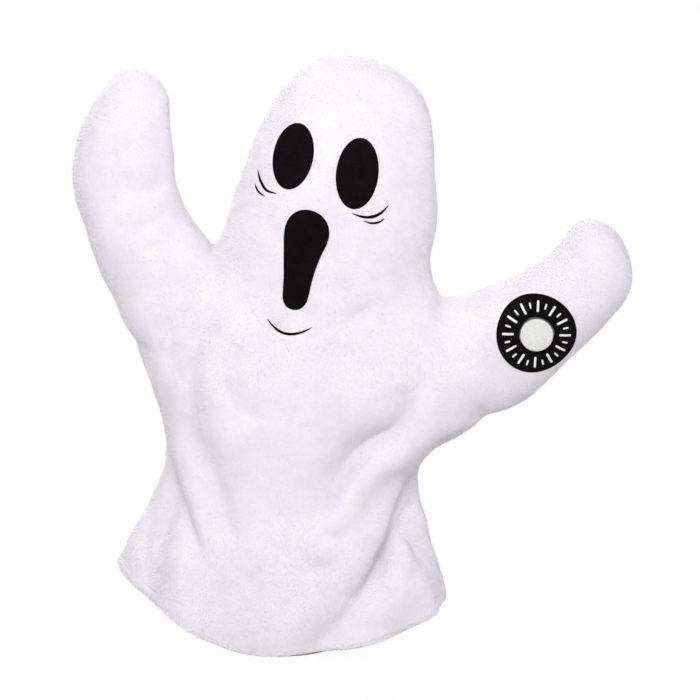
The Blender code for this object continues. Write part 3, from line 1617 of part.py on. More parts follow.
# Press button in the left arm
def press_centre():
    along_share, across_share = PRESS_PLACE_SHARES
    return limb_place(
        1, LEFT_ARM_ANGLE_DEG, along_share * LEFT_ARM_LENGTH, across_share * ARM_ROOT_RADIUS
    )


def make_press(pivot):
    centre = press_centre()
    body_radius = PRESS_POCKET_RADIUS - FIT_GAP
    bore = PRESS_STEM_RADIUS + FIT_GAP
    bore_end = PRESS_SWITCH_FRONT_Y + PRESS_BORE_DEPTH
    body = turned(
        (
            (0, bore_end),
            (bore, bore_end),
            (bore, PRESS_SWITCH_FRONT_Y),
            (body_radius, PRESS_SWITCH_FRONT_Y),
            (body_radius, PRESS_SWITCH_BACK_Y),
            (0, PRESS_SWITCH_BACK_Y),
        ),
        centre,
        "Y",
    )
    add_piece("press_switch", body, "frame_plastic", pivot)
    cap_back = PRESS_CAP_FRONT_Y + PRESS_CAP_THICKNESS
    button = turned(
        (
            (0, PRESS_CAP_FRONT_Y),
            (PRESS_CAP_RADIUS - PRESS_CAP_EDGE, PRESS_CAP_FRONT_Y),
            (PRESS_CAP_RADIUS, PRESS_CAP_FRONT_Y + PRESS_CAP_EDGE),
            (PRESS_CAP_RADIUS, cap_back),
            (PRESS_STEM_RADIUS, cap_back),
            (PRESS_STEM_RADIUS, cap_back + PRESS_STEM_LENGTH),
            (0, cap_back + PRESS_STEM_LENGTH),
        ),
        centre,
        "Y",
    )
    press_pivot = Pivot("press_pivot", centre, pivot)
    add_piece("press_button", button, "white_disc", press_pivot)
    inner = PRESS_POCKET_RADIUS + FIT_GAP
    step = (PRESS_RING_RADIUS - inner) / PATCH_RINGS
    points = [
        circle(centre.x, centre.z, inner + step * ring, PATCH_SIDES)
        for ring in range(PATCH_RINGS + 1)
    ]
    side, angle_deg, length, rows = ARMS[1]

    def surface(x, z):
        return limb_surface_y(side, angle_deg, length, rows, x, z)

    add_patch("press_ring", points, surface, PRESS_RING_LIFT, pivot)


def add_patch(name, rings, surface, lift, pivot):
    """Thin felt patch that follows a surface. Rings run from the inside out, and one point closes it."""
    bm = bmesh.new()
    faces = []
    for height in (lift, lift + PATCH_THICKNESS):
        layer = [[bm.verts.new((x, surface(x, z) - height, z)) for x, z in ring] for ring in rings]
        for inner, outer in zip(layer, layer[1:]):
            join_rings(bm, inner, outer)
        faces.append(layer)
    join_rings(bm, faces[0][-1], faces[1][-1])
    if len(rings[0]) > 1:
        join_rings(bm, faces[0][0], faces[1][0])
    add_piece(name, bm, "black_felt", pivot)


def make_face(hip):
    def surface(x, z):
        left, right, depth = cover_row(z / COVER_HEIGHT)
        offset_share = abs(2 * x - left - right) / (right - left)
        return -depth * (1 - offset_share**COVER_ROUNDNESS) ** (1 / COVER_ROUNDNESS)

    def place(shares):
        return shares[0] * COVER_HALF_WIDTH, NECK_Z + shares[1] * HEAD_RISE

    eyes = (
        (
            "right",
            RIGHT_EYE_SHARES,
            RIGHT_EYE_HALF_WIDTH,
            RIGHT_EYE_HALF_HEIGHT,
            RIGHT_EYE_TILT_DEG,
        ),
        ("left", LEFT_EYE_SHARES, LEFT_EYE_HALF_WIDTH, LEFT_EYE_HALF_HEIGHT, LEFT_EYE_TILT_DEG),
    )
    for side_name, shares, half_width, half_height, tilt_deg in eyes:
        x, z = place(shares)
        tilt = math.radians(tilt_deg)
        rings = [[(x, z)]]
        for ring in range(1, PATCH_RINGS + 1):
            rings.append(
                [
                    (
                        x + a * half_width * math.cos(tilt) + b * half_height * math.sin(tilt),
                        z + b * half_height * math.cos(tilt) - a * half_width * math.sin(tilt),
                    )
                    for a, b in circle(0, 0, ring / PATCH_RINGS, PATCH_SIDES)
                ]
            )
        add_patch(f"{side_name}_eye_patch", rings, surface, PATCH_LIFT, hip)
    top = place(MOUTH_TOP_SHARES)
    bottom = place(MOUTH_BOTTOM_SHARES)
    outline = hull_of(circle(*top, MOUTH_TOP_RADIUS) + circle(*bottom, MOUTH_BOTTOM_RADIUS))
    middle_x = (top[0] + bottom[0]) / 2
    middle_z = (top[1] + bottom[1]) / 2
    rings = [[(middle_x, middle_z)]]
    for ring in range(1, PATCH_RINGS + 1):
        share = ring / PATCH_RINGS
        rings.append(
            [
                (middle_x + (x - middle_x) * share, middle_z + (z - middle_z) * share)
                for x, z in outline
            ]
        )
    add_patch("mouth_patch", rings, surface, PATCH_LIFT, hip)


def build():
    for old in list(bpy.data.objects):
        bpy.data.objects.remove(old)
    make_tray()
    make_door()
    make_cells()
    make_base_cover()
    make_electrics()
    make_gearbox()
    make_gears()
    hip = Pivot("hip_pivot", HIP, turn_deg=REST_LEAN_DEG)
    make_torso_frame(hip)
    make_head_disc(hip)
    make_cover(hip)
    make_stuffing(hip)
    make_face(hip)
    for side, angle_deg, length, rows in ARMS:
        name = "right" if side < 0 else "left"
        pivot = Pivot(f"{name}_shoulder_pivot", Vector((side * SHOULDER_X, 0.0, SHOULDER_Z)), hip)
        reach = length - BONE_TIP_ROOM
        make_bone(side, name, angle_deg, reach, pivot)
        make_arm(side, name, angle_deg, length, rows, reach, pivot)
        if side > 0:
            make_press(pivot)
        make_rod(side, name)


build()
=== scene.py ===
"""Dressed scene of a dancing plush ghost on a battery drive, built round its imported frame."""

import json
import math

import bmesh
import bpy
import numpy as np
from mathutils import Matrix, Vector, noise
from mathutils.bvhtree import BVHTree


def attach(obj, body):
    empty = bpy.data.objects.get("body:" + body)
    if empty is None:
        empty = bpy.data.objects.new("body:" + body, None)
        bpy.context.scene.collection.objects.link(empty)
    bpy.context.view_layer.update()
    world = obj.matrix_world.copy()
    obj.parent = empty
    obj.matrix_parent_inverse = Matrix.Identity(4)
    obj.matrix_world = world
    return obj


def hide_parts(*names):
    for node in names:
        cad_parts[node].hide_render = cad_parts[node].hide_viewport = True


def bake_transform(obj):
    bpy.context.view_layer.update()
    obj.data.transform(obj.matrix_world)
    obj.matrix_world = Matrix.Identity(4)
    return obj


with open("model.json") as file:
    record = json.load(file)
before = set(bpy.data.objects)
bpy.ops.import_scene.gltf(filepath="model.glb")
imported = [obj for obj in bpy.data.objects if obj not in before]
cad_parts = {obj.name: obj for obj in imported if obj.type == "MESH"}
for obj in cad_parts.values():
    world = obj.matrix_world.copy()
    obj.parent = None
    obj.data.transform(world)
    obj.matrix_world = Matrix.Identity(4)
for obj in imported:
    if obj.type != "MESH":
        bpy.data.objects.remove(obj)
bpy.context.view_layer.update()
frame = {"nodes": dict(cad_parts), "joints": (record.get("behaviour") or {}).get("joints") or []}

bl_info = {
    "name": "Dancing Plush Ghost",
    "version": (1, 0, 0),
    "blender": (4, 5, 0),
    "location": "3D View > Sidebar > Ghost",
    "description": "Sews, brushes and lights a dancing plush ghost round its drive",
    "category": "Add Mesh",
}

HIP = Vector(next(joint["pos_m"] for joint in frame["joints"] if joint["name"] == "hip_sway"))
LEAN = math.radians(10.0)
UP_IN_ROW = Vector((math.sin(LEAN), 0.0, math.cos(LEAN)))

# Upright figure: the fleece cover, in metres
COVER_HALF_WIDTH = 0.090
COVER_HALF_DEPTH = 0.05498
COVER_HEIGHT = 0.333
COVER_ROUNDNESS = 2.2
CROWN_SHARE = -0.07
COVER_ROW_SHARES = (
    (0.0, -0.985, 1.06, 1.00),
    (0.054, -0.955, 1.02, 0.97),
    (0.108, -0.915, 0.965, 0.91),
    (0.168, -0.855, 0.89, 0.84),
    (0.228, -0.80, 0.835, 0.76),
    (0.288, -0.81, 0.758, 0.71),
    (0.333, -0.852, 0.738, 0.71),
    (0.372, -0.912, 0.825, 0.71),
    (0.408, -0.99, 0.98, 0.71),
    (0.468, -1.10, 1.10, 0.69),
    (0.535, -1.03, 1.01, 0.65),
    (0.600, -0.79, 0.73, 0.64),
    (0.667, -0.70, 0.58, 0.67),
    (0.745, -0.66, 0.565, 0.69),
    (0.817, -0.62, 0.512, 0.67),
    (0.883, -0.55, 0.458, 0.60),
    (0.937, -0.465, 0.378, 0.49),
    (0.976, -0.34, 0.235, 0.33),
)
# Leaning skirt folds: place at the hem, depth, place and height at the top
SKIRT_FOLD_SHARES = (
    (0.786, 1.00, 0.929, 0.350), (0.893, 0.50, 0.905, 0.160), (0.982, 0.55, 0.929, 0.250),
    (0.714, 0.85, 0.607, 0.410), (0.607, 0.80, 0.560, 0.290), (0.071, 0.60, 0.071, 0.200),
    (0.179, 0.90, 0.054, 0.400), (0.286, 1.00, 0.214, 0.350), (0.393, 0.75, 0.464, 0.400),
    (0.464, 0.50, 0.500, 0.190),
)
SKIRT_FOLD_DEPTH = 0.0062
SKIRT_FOLD_WIDTH_SHARE = 0.030
SKIRT_FOLD_FADE_SHARE = 0.7
# Swell beside each skirt fold: how far off, how wide and how high
SKIRT_SWELL_SHARES = (0.056, 0.028, 0.10)
HEM_CLEARANCE = 0.0030
HEM_RISE = 0.0250
HEM_RISE_END = 0.096
HEM_LOWEST_X = -0.018
HEM_RIGHT_REACH = 0.071
HEM_LEFT_REACH = 0.095
HEM_RIGHT_CURVE = 1.30
HEM_LEFT_CURVE = 1.67
HEM_REACH_LIMIT = 1.2
HEM_INSET_SHARE = 0.62
HEM_DROP_SHARE = 0.82
HEM_STEP = 0.0024
HEM_SIDES = 14
HEM_RIPPLE_SIZE = 0.011
COVER_FOOT = -0.014
CROWN_HALF = 0.002

# Arms: side, angle from upright, length and rows of along, inner, outer, depth
SHOULDER_X = 0.090
SHOULDER_Z = 0.185
ARM_ROOT_RADIUS = 0.035
ARM_DEPTH = 0.026
ARM_ROUNDNESS = 2.3
ROOT_OUTER_SHARES = {-1: 0.66, 1: 1.0}
# Room round the arm seams: an arm lies below the seam's top or outside the head's side
SEAM_NEAR_X = 0.045
SEAM_NEAR_FOOT = 0.09
SEAM_NEAR_TOP = 0.222
SEAM_TOP = 0.214
HEAD_SIDES = {-1: 0.069, 1: 0.075}
ARMS = {
    "right": (
        -1, -21.6, 0.1230,
        (
            (0.0, -0.97, 0.76, 0.95), (0.12, -0.94, 0.85, 0.94), (0.24, -0.76, 0.91, 0.92),
            (0.36, -0.60, 0.96, 0.88), (0.48, -0.56, 1.00, 0.84), (0.62, -0.63, 0.96, 0.80),
            (0.75, -0.69, 0.79, 0.76), (0.86, -0.75, 0.52, 0.70), (0.94, -0.64, 0.24, 0.56),
            (0.985, -0.44, -0.02, 0.34),
        ),
        (-0.0771, 0.178), (-0.95, 0.31), 0.045,
    ),
    "left": (
        1, 42.0, 0.0955,
        (
            (0.0, -0.92, 1.08, 0.96), (0.15, -0.74, 1.02, 0.95), (0.31, -0.61, 0.94, 0.92),
            (0.52, -0.53, 0.90, 0.87), (0.67, -0.54, 0.83, 0.83), (0.80, -0.65, 0.73, 0.79),
            (0.89, -0.65, 0.57, 0.71), (0.95, -0.52, 0.35, 0.56), (0.985, -0.32, 0.12, 0.34),
        ),
        (0.0745, 0.165), (0.94, 0.34), 0.034,
    ),
}

# Swell beside a crease, side seam and lumps of the stuffing
SWELL_APART = 0.0105
SWELL_REACH = 0.0085
SEAM_HALF_WIDTH = 0.0019
SEAM_DEPTH = 0.0006
BROAD_LUMP_SIZE = 0.034
FINE_LUMP_SIZE = 0.013
FINE_LUMP_SHARE = 0.45

# Creases: depth, width on either side, swell beside the steep side, and places in millimetres
FRONT_FOLDS = (
    (0.0114, 0.0130, 0.0026, 0.0048, (
        (54.5, 164.0), (54.0, 154.0), (53.0, 142.5), (48.5, 133.0), (39.5, 126.5), (31.5, 119.0),
        (26.5, 110.0), (23.0, 100.5), (19.5, 91.0), (15.5, 81.5))),
    (0.0096, 0.0026, 0.0115, 0.0022, (
        (66.5, 116.0), (63.6, 110.4), (62.0, 100.5), (60.3, 90.6), (58.5, 80.3), (56.8, 69.3),
        (54.2, 58.1), (50.8, 46.3), (46.8, 38.0), (42.0, 31.0))),
    (0.0046, 0.0032, 0.0040, 0.0010, (
        (69.5, 96.5), (67.4, 84.1), (66.3, 77.3), (71.7, 64.8), (79.3, 46.0))),
    (0.0036, 0.0046, 0.0028, 0.0010, ((64.3, 84.2), (61.6, 69.7), (59.5, 53.4), (62.0, 34.4))),
    (0.0046, 0.0028, 0.0085, 0.0014, (
        (-57.5, 182.0), (-62.6, 168.0), (-66.8, 155.0), (-66.8, 142.0), (-64.2, 125.1), (-64.8, 108.7))),
    (0.0034, 0.0080, 0.0090, 0.0, (
        (-66.0, 116.0), (-60.0, 108.0), (-52.2, 101.0), (-46.0, 93.2), (-40.2, 82.9), (-34.8, 70.2),
        (-29.4, 54.1))),
    (0.0070, 0.0110, 0.0026, 0.0012, (
        (-74.0, 100.4), (-69.5, 87.9), (-64.6, 77.4), (-58.2, 66.8), (-51.4, 56.4), (-43.0, 44.1))),
    (0.0044, 0.0030, 0.0050, 0.0012, (
        (-70.8, 85.6), (-69.8, 67.0), (-69.5, 52.4), (-70.5, 40.1), (-70.7, 27.6))),
    (0.0036, 0.0028, 0.0036, 0.0010, ((-75.0, 69.2), (-76.6, 47.1), (-77.6, 34.3), (-76.7, 20.7))),
    (0.0016, 0.0030, 0.0050, 0.0005, ((-4.6, 149.3), (-7.9, 135.8), (-10.7, 124.5))),
    (0.0022, 0.0036, 0.0036, 0.0004, ((15.8, 74.6), (23.5, 72.3), (30.6, 70.0))),
    (0.0020, 0.0032, 0.0032, 0.0004, ((11.3, 54.0), (20.0, 53.2), (29.2, 53.0))),
    (0.0030, 0.0060, 0.0085, 0.0004, (
        (-46.5, 172.0), (-49.6, 156.0), (-46.8, 142.7), (-40.3, 135.4), (-24.9, 131.4))),
    (0.0013, 0.0050, 0.0040, 0.0004, ((24.8, 99.2), (18.1, 88.7), (11.7, 81.4), (1.8, 79.3))),
    (0.0018, 0.0028, 0.0040, 0.0006, ((24.0, 206.0), (16.5, 199.0), (10.5, 186.0))),
    (0.0028, 0.0040, 0.0040, 0.0008, ((70.2, 120.8), (79.7, 131.9), (92.1, 137.1))),
)
BACK_FOLDS = (
    (0.0056, 0.0032, 0.0085, 0.0014, (
        (70.0, 128.0), (56.0, 108.0), (50.0, 84.0), (47.0, 58.0), (49.0, 34.0))),
    (0.0054, 0.0085, 0.0032, 0.0014, (
        (-76.0, 132.0), (-60.0, 110.0), (-54.0, 84.0), (-50.0, 52.0), (-54.0, 30.0))),
    (0.0028, 0.0050, 0.0065, 0.0004, ((30.0, 112.0), (20.0, 92.0), (16.0, 66.0))),
    (0.0026, 0.0065, 0.0050, 0.0004, ((-26.0, 118.0), (-22.0, 92.0), (-27.0, 70.0))),
    (0.0024, 0.0040, 0.0070, 0.0006, ((60.0, 172.0), (46.0, 152.0), (38.0, 134.0))),
    (0.0024, 0.0070, 0.0040, 0.0006, ((-62.0, 176.0), (-46.0, 156.0), (-38.0, 134.0))),
    (0.0014, 0.0050, 0.0050, 0.0004, ((-22.0, 182.0), (2.0, 176.0), (26.0, 184.0))),
)
ARM_FOLDS = (
    (0.0018, 0.0040, 0.0040, 0.0006, ((-94.0, 232.0), (-106.0, 224.0), (-118.0, 222.0))),
    (0.0012, 0.0036, 0.0036, 0.0004, ((-97.0, 248.0), (-110.0, 243.0), (-120.0, 243.0))),
    (0.0014, 0.0040, 0.0060, 0.0004, ((84.0, 138.0), (92.0, 150.0), (94.0, 162.0))),
    (0.0012, 0.0036, 0.0036, 0.0004, ((132.0, 246.0), (140.0, 236.0), (147.0, 232.0))),
    (0.0024, 0.0060, 0.0080, 0.0004, ((-84.0, 178.0), (-80.0, 158.0), (-75.0, 140.0))),
)

# Face, in millimetres on the upright figure
EYES = {
    "right_eye_felt": ("right_eye_patch", -33.1, 278.6, 10.6, 17.9, 5.0),
    "left_eye_felt": ("left_eye_patch", 2.4, 276.4, 11.5, 19.2, -4.0),
}
MOUTH_OUTLINE = (
    (-18.8, 252.4), (-12.5, 250.6), (-8.6, 246.7), (-6.7, 241.0), (-7.0, 235.7), (-8.9, 228.8),
    (-10.4, 221.4), (-11.4, 213.2), (-11.7, 205.3), (-12.6, 200.0), (-15.2, 196.6), (-18.9, 195.6),
    (-22.6, 196.7), (-25.1, 200.0), (-26.0, 205.3), (-26.8, 212.1), (-28.3, 220.9), (-29.6, 228.8),
    (-30.6, 234.7), (-30.8, 240.7), (-29.2, 246.6), (-25.2, 250.9),
)
MOUTH_MIDDLE = (-18.8, 224.0)
FACE_LINES = (
    (0.80, ((-50.5, 265.6), (-47.9, 260.5), (-44.1, 257.0), (-38.5, 257.0))),
    (0.60, ((-50.7, 257.9), (-48.3, 254.8), (-44.4, 253.5))),
    (0.85, ((3.6, 254.8), (9.8, 253.7), (15.2, 254.7), (19.3, 257.5), (22.3, 261.7))),
    (0.60, ((10.1, 251.7), (14.9, 250.9), (18.9, 252.1), (21.4, 254.1))),
    (0.75, ((-31.6, 187.7), (-27.0, 184.1), (-22.5, 182.2), (-17.4, 182.2), (-11.4, 184.5), (-7.0, 187.7))),
)

# Press button on the left arm
PRESS_X = 0.1149
PRESS_Z = 0.2018
PRESS_CAP_FRONT_Y = -0.0242
PRESS_POCKET_RADIUS = 0.0096
PRESS_POCKET_FLOOR_Y = -0.0185
PRESS_SLOPE_FOOT = 0.0116
PRESS_SLOPE_TOP = 0.0144
RING_STEP = 0.0014
SHORT_MARK_INSETS = (0.0022, 0.0010)
LONG_MARK_HALF_WIDTH = 0.00062
SHORT_MARK_HALF_WIDTH = 0.00048

# How far the backs of the felt lie in the fleece, and the lift of the thin face lines
FELT_ROOT = 0.0006
FACE_LINE_LIFT = 0.0007

# Where an arm meets the body: across, up, and reach
SOFT_NOTCHES = ((0.076, 0.114, 0.006), (-0.078, 0.128, 0.028))
SHARP_NOTCHES = ((0.058, 0.198, 0.016), (-0.066, 0.204, 0.014))

made = {}


def millimetres(points):
    return np.array(points, float) / 1000.0


def to_row(points):
    """Turns places on the upright figure into places on the leaning one."""
    points = np.asarray(points, float)
    rise = points[:, 2] - HIP.z
    cosine, sine = math.cos(LEAN), math.sin(LEAN)
    return np.column_stack(
        (points[:, 0] * cosine + rise * sine, points[:, 1], HIP.z + rise * cosine - points[:, 0] * sine)
    )


def turn_to_row(vectors):
    cosine, sine = math.cos(LEAN), math.sin(LEAN)
    across, deep, up = vectors.T
    return np.column_stack((across * cosine + up * sine, deep, up * cosine - across * sine))


def spline(rows, per, closed=False):
    """A smooth run through rows of numbers, with per samples for each interval."""
    rows = np.array(rows, float)
    if closed:
        rows = np.vstack((rows[-2:], rows, rows[:3]))
    steps = np.concatenate(([0.0], np.cumsum(np.linalg.norm(np.diff(rows, axis=0), axis=1))))
    slopes = np.gradient(rows, steps, axis=0)
    first, last = (2, len(rows) - 3) if closed else (0, len(rows) - 1)
    samples = []
    for index in range(first, last):
        step = steps[index + 1] - steps[index]
        for share in np.arange(per) / per:
            squared, cubed = share**2, share**3
            samples.append(
                (2 * cubed - 3 * squared + 1) * rows[index]
                + (cubed - 2 * squared + share) * step * slopes[index]
                + (3 * squared - 2 * cubed) * rows[index + 1]
                + (cubed - squared) * step * slopes[index + 1]
            )
    if not closed:
        samples.append(rows[-1])
    return np.array(samples)


def section(count, roundness):
    """Across and deep of a rounded section, as two arrays from -1 to 1."""
    angles = np.arange(count) * 2 * math.pi / count
    power = 2 / roundness
    cosine, sine = np.cos(angles), np.sin(angles)
    return np.sign(cosine) * np.abs(cosine) ** power, np.sign(sine) * np.abs(sine) ** power


def tube_faces(ring_count, count, closed):
    """Faces of a tube through rings of the same count."""
    faces = []
    last = ring_count if closed else ring_count - 1
    for ring in range(last):
        low, high = ring * count, (ring + 1) % ring_count * count
        for index in range(count):
            after = (index + 1) % count
            faces.append((low + index, low + after, high + after, high + index))
    return faces


def loft(rings):
    """Points and faces of a closed form through rings of the same count."""
    count = len(rings[0])
    end = (len(rings) - 1) * count
    faces = [tuple(range(count))[::-1]]
    faces += tube_faces(len(rings), count, False)
    faces.append(tuple(range(end, end + count)))
    return np.vstack(rings), faces


def new_mesh(name, points, faces):
    mesh = bpy.data.meshes.new(name)
    mesh.from_pydata([tuple(point) for point in points], [], faces)
    mesh.validate()
    return mesh


def outward(mesh):
    bm = bmesh.new()
    bm.from_mesh(mesh)
    bmesh.ops.recalc_face_normals(bm, faces=bm.faces)
    bm.to_mesh(mesh)
    bm.free()


def add_object(name, mesh, material=None, smooth=True):
    thing = bpy.data.objects.new(name, mesh)
    bpy.context.scene.collection.objects.link(thing)
    if material:
        mesh.materials.append(material)
    mesh.polygons.foreach_set("use_smooth", [smooth] * len(mesh.polygons))
    return thing


def read_points(mesh):
    points = np.zeros(len(mesh.vertices) * 3)
    mesh.vertices.foreach_get("co", points)
    return points.reshape(-1, 3)


def write_points(mesh, points):
    mesh.vertices.foreach_set("co", np.asarray(points, float).ravel())
    mesh.update()


def read_normals(mesh):
    return np.array([corner.vector for corner in mesh.vertex_normals], float)


def read_edges(mesh):
    edges = np.zeros(len(mesh.edges) * 2, np.int64)
    mesh.edges.foreach_get("vertices", edges)
    return edges.reshape(-1, 2)


def relax(points, edges, rounds, strength=0.5, share=None):
    """Evens a surface out by moving each point towards its neighbours."""
    count = np.bincount(edges.ravel(), minlength=len(points)).astype(float)
    for _ in range(rounds):
        total = np.zeros_like(points)
        np.add.at(total, edges[:, 0], points[edges[:, 1]])
        np.add.at(total, edges[:, 1], points[edges[:, 0]])
        step = strength * (total / count[:, None] - points)
        points = points + (step if share is None else step * share[:, None])
    return points


def smoothstep(low, high, value):
    share = np.clip((value - low) / (high - low), 0, 1)
    return share * share * (3 - 2 * share)


def near_line(places, line):
    """Distance from each place to a run of points, the share along it, and the side."""
    best = np.full(len(places), 1e9)
    along = np.zeros(len(places))
    side = np.zeros(len(places))
    steps = np.concatenate(([0.0], np.cumsum(np.linalg.norm(np.diff(line, axis=0), axis=1))))
    for index in range(len(line) - 1):
        start, run = line[index], line[index + 1] - line[index]
        offset = places - start
        share = np.clip(offset @ run / (run @ run), 0, 1)
        apart = offset - share[:, None] * run
        distance = np.linalg.norm(apart, axis=1)
        nearer = distance < best
        best[nearer] = distance[nearer]
        along[nearer] = (steps[index] + share[nearer] * (steps[index + 1] - steps[index])) / steps[-1]
        side[nearer] = np.sign(run[0] * apart[nearer, 1] - run[1] * apart[nearer, 0])
    return best, along, side


def crease(places, depth, width_before, width_after, swell, line):
    """Inward push of a crease, steeper on its narrow side, which swells, and tapering at both ends."""
    distance, along, side = near_line(places, spline(millimetres(line), 5))
    taper = np.sin(math.pi * np.clip(along, 0.01, 0.99)) ** 0.5
    width = np.where(side > 0, width_after, width_before)
    steep = min(width_before, width_after)
    valley = np.exp(-((distance / width) ** 1.4))
    beside = np.exp(-(((distance - SWELL_APART) / SWELL_REACH) ** 2)) * (width < steep * 1.001)
    return taper * (depth * valley - swell * beside)


# Finishes
BLACK = (0.0, 0.0, 0.0)
WHITE = (1.0, 1.0, 1.0)


class Graph:
    """A short way to build a node material."""

    def __init__(self, name):
        self.material = bpy.data.materials.new(name)
        self.material.use_nodes = True
        self.tree = self.material.node_tree
        self.shader = self.tree.nodes["Principled BSDF"]

    def node(self, kind, settings=None, **inputs):
        node = self.tree.nodes.new(kind)
        for key, value in (settings or {}).items():
            setattr(node, key, value)
        for key, value in inputs.items():
            socket = node.inputs[key.replace("_", " ")]
            if isinstance(value, bpy.types.NodeSocket):
                self.tree.links.new(value, socket)
            else:
                socket.default_value = value
        return node

    def place(self, scale=(1.0, 1.0, 1.0)):
        coordinates = self.node("ShaderNodeTexCoord")
        mapping = self.node("ShaderNodeMapping", Vector=coordinates.outputs["Object"], Scale=scale)
        return mapping.outputs["Vector"]

    def noise(self, vector, scale, detail=3.0, roughness=0.6):
        return self.node(
            "ShaderNodeTexNoise", Vector=vector, Scale=scale, Detail=detail, Roughness=roughness
        ).outputs["Fac"]

    def cells(self, vector, scale, randomness=1.0):
        return self.node(
            "ShaderNodeTexVoronoi", Vector=vector, Scale=scale, Randomness=randomness
        ).outputs["Distance"]

    def ramp(self, value, stops):
        node = self.node("ShaderNodeValToRGB", Fac=value)
        elements = node.color_ramp.elements
        while len(elements) < len(stops):
            elements.new(0.5)
        for element, (position, colour) in zip(elements, stops):
            element.position = position
            element.color = (*colour, 1.0)
        return node.outputs["Color"]

    def math(self, operation, first, second=0.5):
        node = self.tree.nodes.new("ShaderNodeMath")
        node.operation = operation
        for socket, value in zip(node.inputs, (first, second)):
            if isinstance(value, bpy.types.NodeSocket):
                self.tree.links.new(value, socket)
            else:
                socket.default_value = value
        return node.outputs["Value"]

    def weighted(self, first, first_share, second, second_share):
        """The sum of two values, each times its share."""
        return self.math(
            "ADD", self.math("MULTIPLY", first, first_share), self.math("MULTIPLY", second, second_share))

    def bump(self, height, distance, strength=1.0, normal=None):
        node = self.node("ShaderNodeBump", Height=height, Distance=distance, Strength=strength)
        if normal:
            self.tree.links.new(normal, node.inputs["Normal"])
        return node.outputs["Normal"]

    def finish(self, colour, normal=None, roughness=0.5, **plain):
        for key, value in {"Base Color": colour, "Normal": normal, "Roughness": roughness}.items():
            if value is None:
                continue
            if isinstance(value, bpy.types.NodeSocket):
                self.tree.links.new(value, self.shader.inputs[key])
            else:
                self.shader.inputs[key].default_value = value
        for key, value in plain.items():
            self.shader.inputs[key.replace("_", " ")].default_value = value
        return self.material


def mixed(first, second, share):
    return tuple(a + (b - a) * share for a, b in zip(first, second))


def fleece_finish(name, colour, shade):
    graph = Graph(name)
    place = graph.place()
    broad = graph.noise(place, 55.0, 4.0)
    tufts = graph.noise(place, 900.0, 2.0, 0.7)
    cells = graph.cells(place, 620.0)
    blend = graph.weighted(broad, 0.75, tufts, 0.25)
    # Painted shade: noise mixes the darker lilac shade into the lit colour, partly the fleece's own random
    # tone and partly painted shadow deep in the pile
    tone = graph.ramp(blend, ((0.36, shade), (0.52, mixed(shade, colour, 0.7)), (0.62, colour)))
    height = graph.weighted(tufts, 0.7, cells, 0.5)
    normal = graph.bump(height, 0.0004, 0.45)
    normal = graph.bump(broad, 0.0016, 0.30, normal)
    return graph.finish(
        tone, normal, 0.95, Sheen_Weight=0.25, Sheen_Roughness=0.5, Sheen_Tint=(0.95, 0.93, 1.0, 1.0),
        Specular_IOR_Level=0.15,
    )


def pile_finish(name, colour, shade):
    graph = Graph(name)
    place = graph.place()
    # Painted shade: noise mixes a darker tone into the tufts, partly their own random tone and partly painted
    # shadow in the pile
    tone = graph.ramp(graph.noise(place, 140.0, 3.0), ((0.35, shade), (0.6, colour)))
    return graph.finish(tone, None, 1.0, Specular_IOR_Level=0.1)


def felt_finish(name, colour, fleck):
    graph = Graph(name)
    place = graph.place()
    grain = graph.noise(place, 1500.0, 3.0, 0.75)
    broad = graph.noise(place, 180.0, 3.0)
    middle = mixed(colour, fleck, 0.35)
    tone = graph.ramp(
        graph.weighted(grain, 0.7, broad, 0.3), ((0.40, colour), (0.60, middle), (0.74, fleck)))
    return graph.finish(tone, graph.bump(grain, 0.0003, 0.5), 0.95, Specular_IOR_Level=0.06)


def woven_finish(name, colour, shade):
    graph = Graph(name)
    place = graph.place()
    across, along = (
        graph.node("ShaderNodeTexWave", {"bands_direction": way}, Vector=place, Scale=260.0, Distortion=0.6)
        for way in ("X", "Z"))
    weave = graph.math("MULTIPLY", across.outputs["Fac"], along.outputs["Fac"])
    mottle = graph.noise(place, 420.0, 3.0)
    tone = graph.ramp(graph.weighted(weave, 0.35, mottle, 0.65), ((0.25, shade), (0.55, colour)))
    return graph.finish(tone, graph.bump(weave, 0.00025, 0.6), 0.85, Specular_IOR_Level=0.2)


def plastic_finish(name, colour, roughness=0.45, grain=0.00006):
    graph = Graph(name)
    place = graph.place()
    broad = graph.noise(place, 60.0, 2.0)
    fine = graph.noise(place, 2600.0, 2.0)
    dark, pale = mixed(colour, BLACK, 0.10), mixed(colour, WHITE, 0.04)
    tone = graph.ramp(broad, ((0.3, dark), (0.7, pale)))
    gloss = graph.math("ADD", graph.math("MULTIPLY", fine, 0.18), roughness - 0.09)
    return graph.finish(tone, graph.bump(fine, grain, 0.6), gloss)


def metal_finish(name, colour, stretch, roughness=0.3):
    graph = Graph(name)
    brushed = graph.noise(graph.place(stretch), 900.0, 3.0, 0.7)
    stain = graph.noise(graph.place(), 70.0, 3.0)
    tone = graph.ramp(stain, ((0.3, mixed(colour, (0.2, 0.18, 0.16), 0.18)), (0.65, colour)))
    gloss = graph.math("ADD", graph.math("MULTIPLY", brushed, 0.2), roughness - 0.1)
    return graph.finish(tone, graph.bump(brushed, 0.00004, 0.5), gloss, Metallic=1.0)


def fibre_finish(name, colour, shade):
    graph = Graph(name)
    place = graph.place()
    strands = graph.noise(graph.place((1.0, 1.0, 3.0)), 420.0, 5.0, 0.75)
    tone = graph.ramp(strands, ((0.35, shade), (0.62, colour)))
    lumps = graph.noise(place, 90.0, 4.0)
    normal = graph.bump(lumps, 0.004, 0.6, graph.bump(strands, 0.001, 0.8))
    return graph.finish(tone, normal, 1.0, Sheen_Weight=0.2, Specular_IOR_Level=0.1)


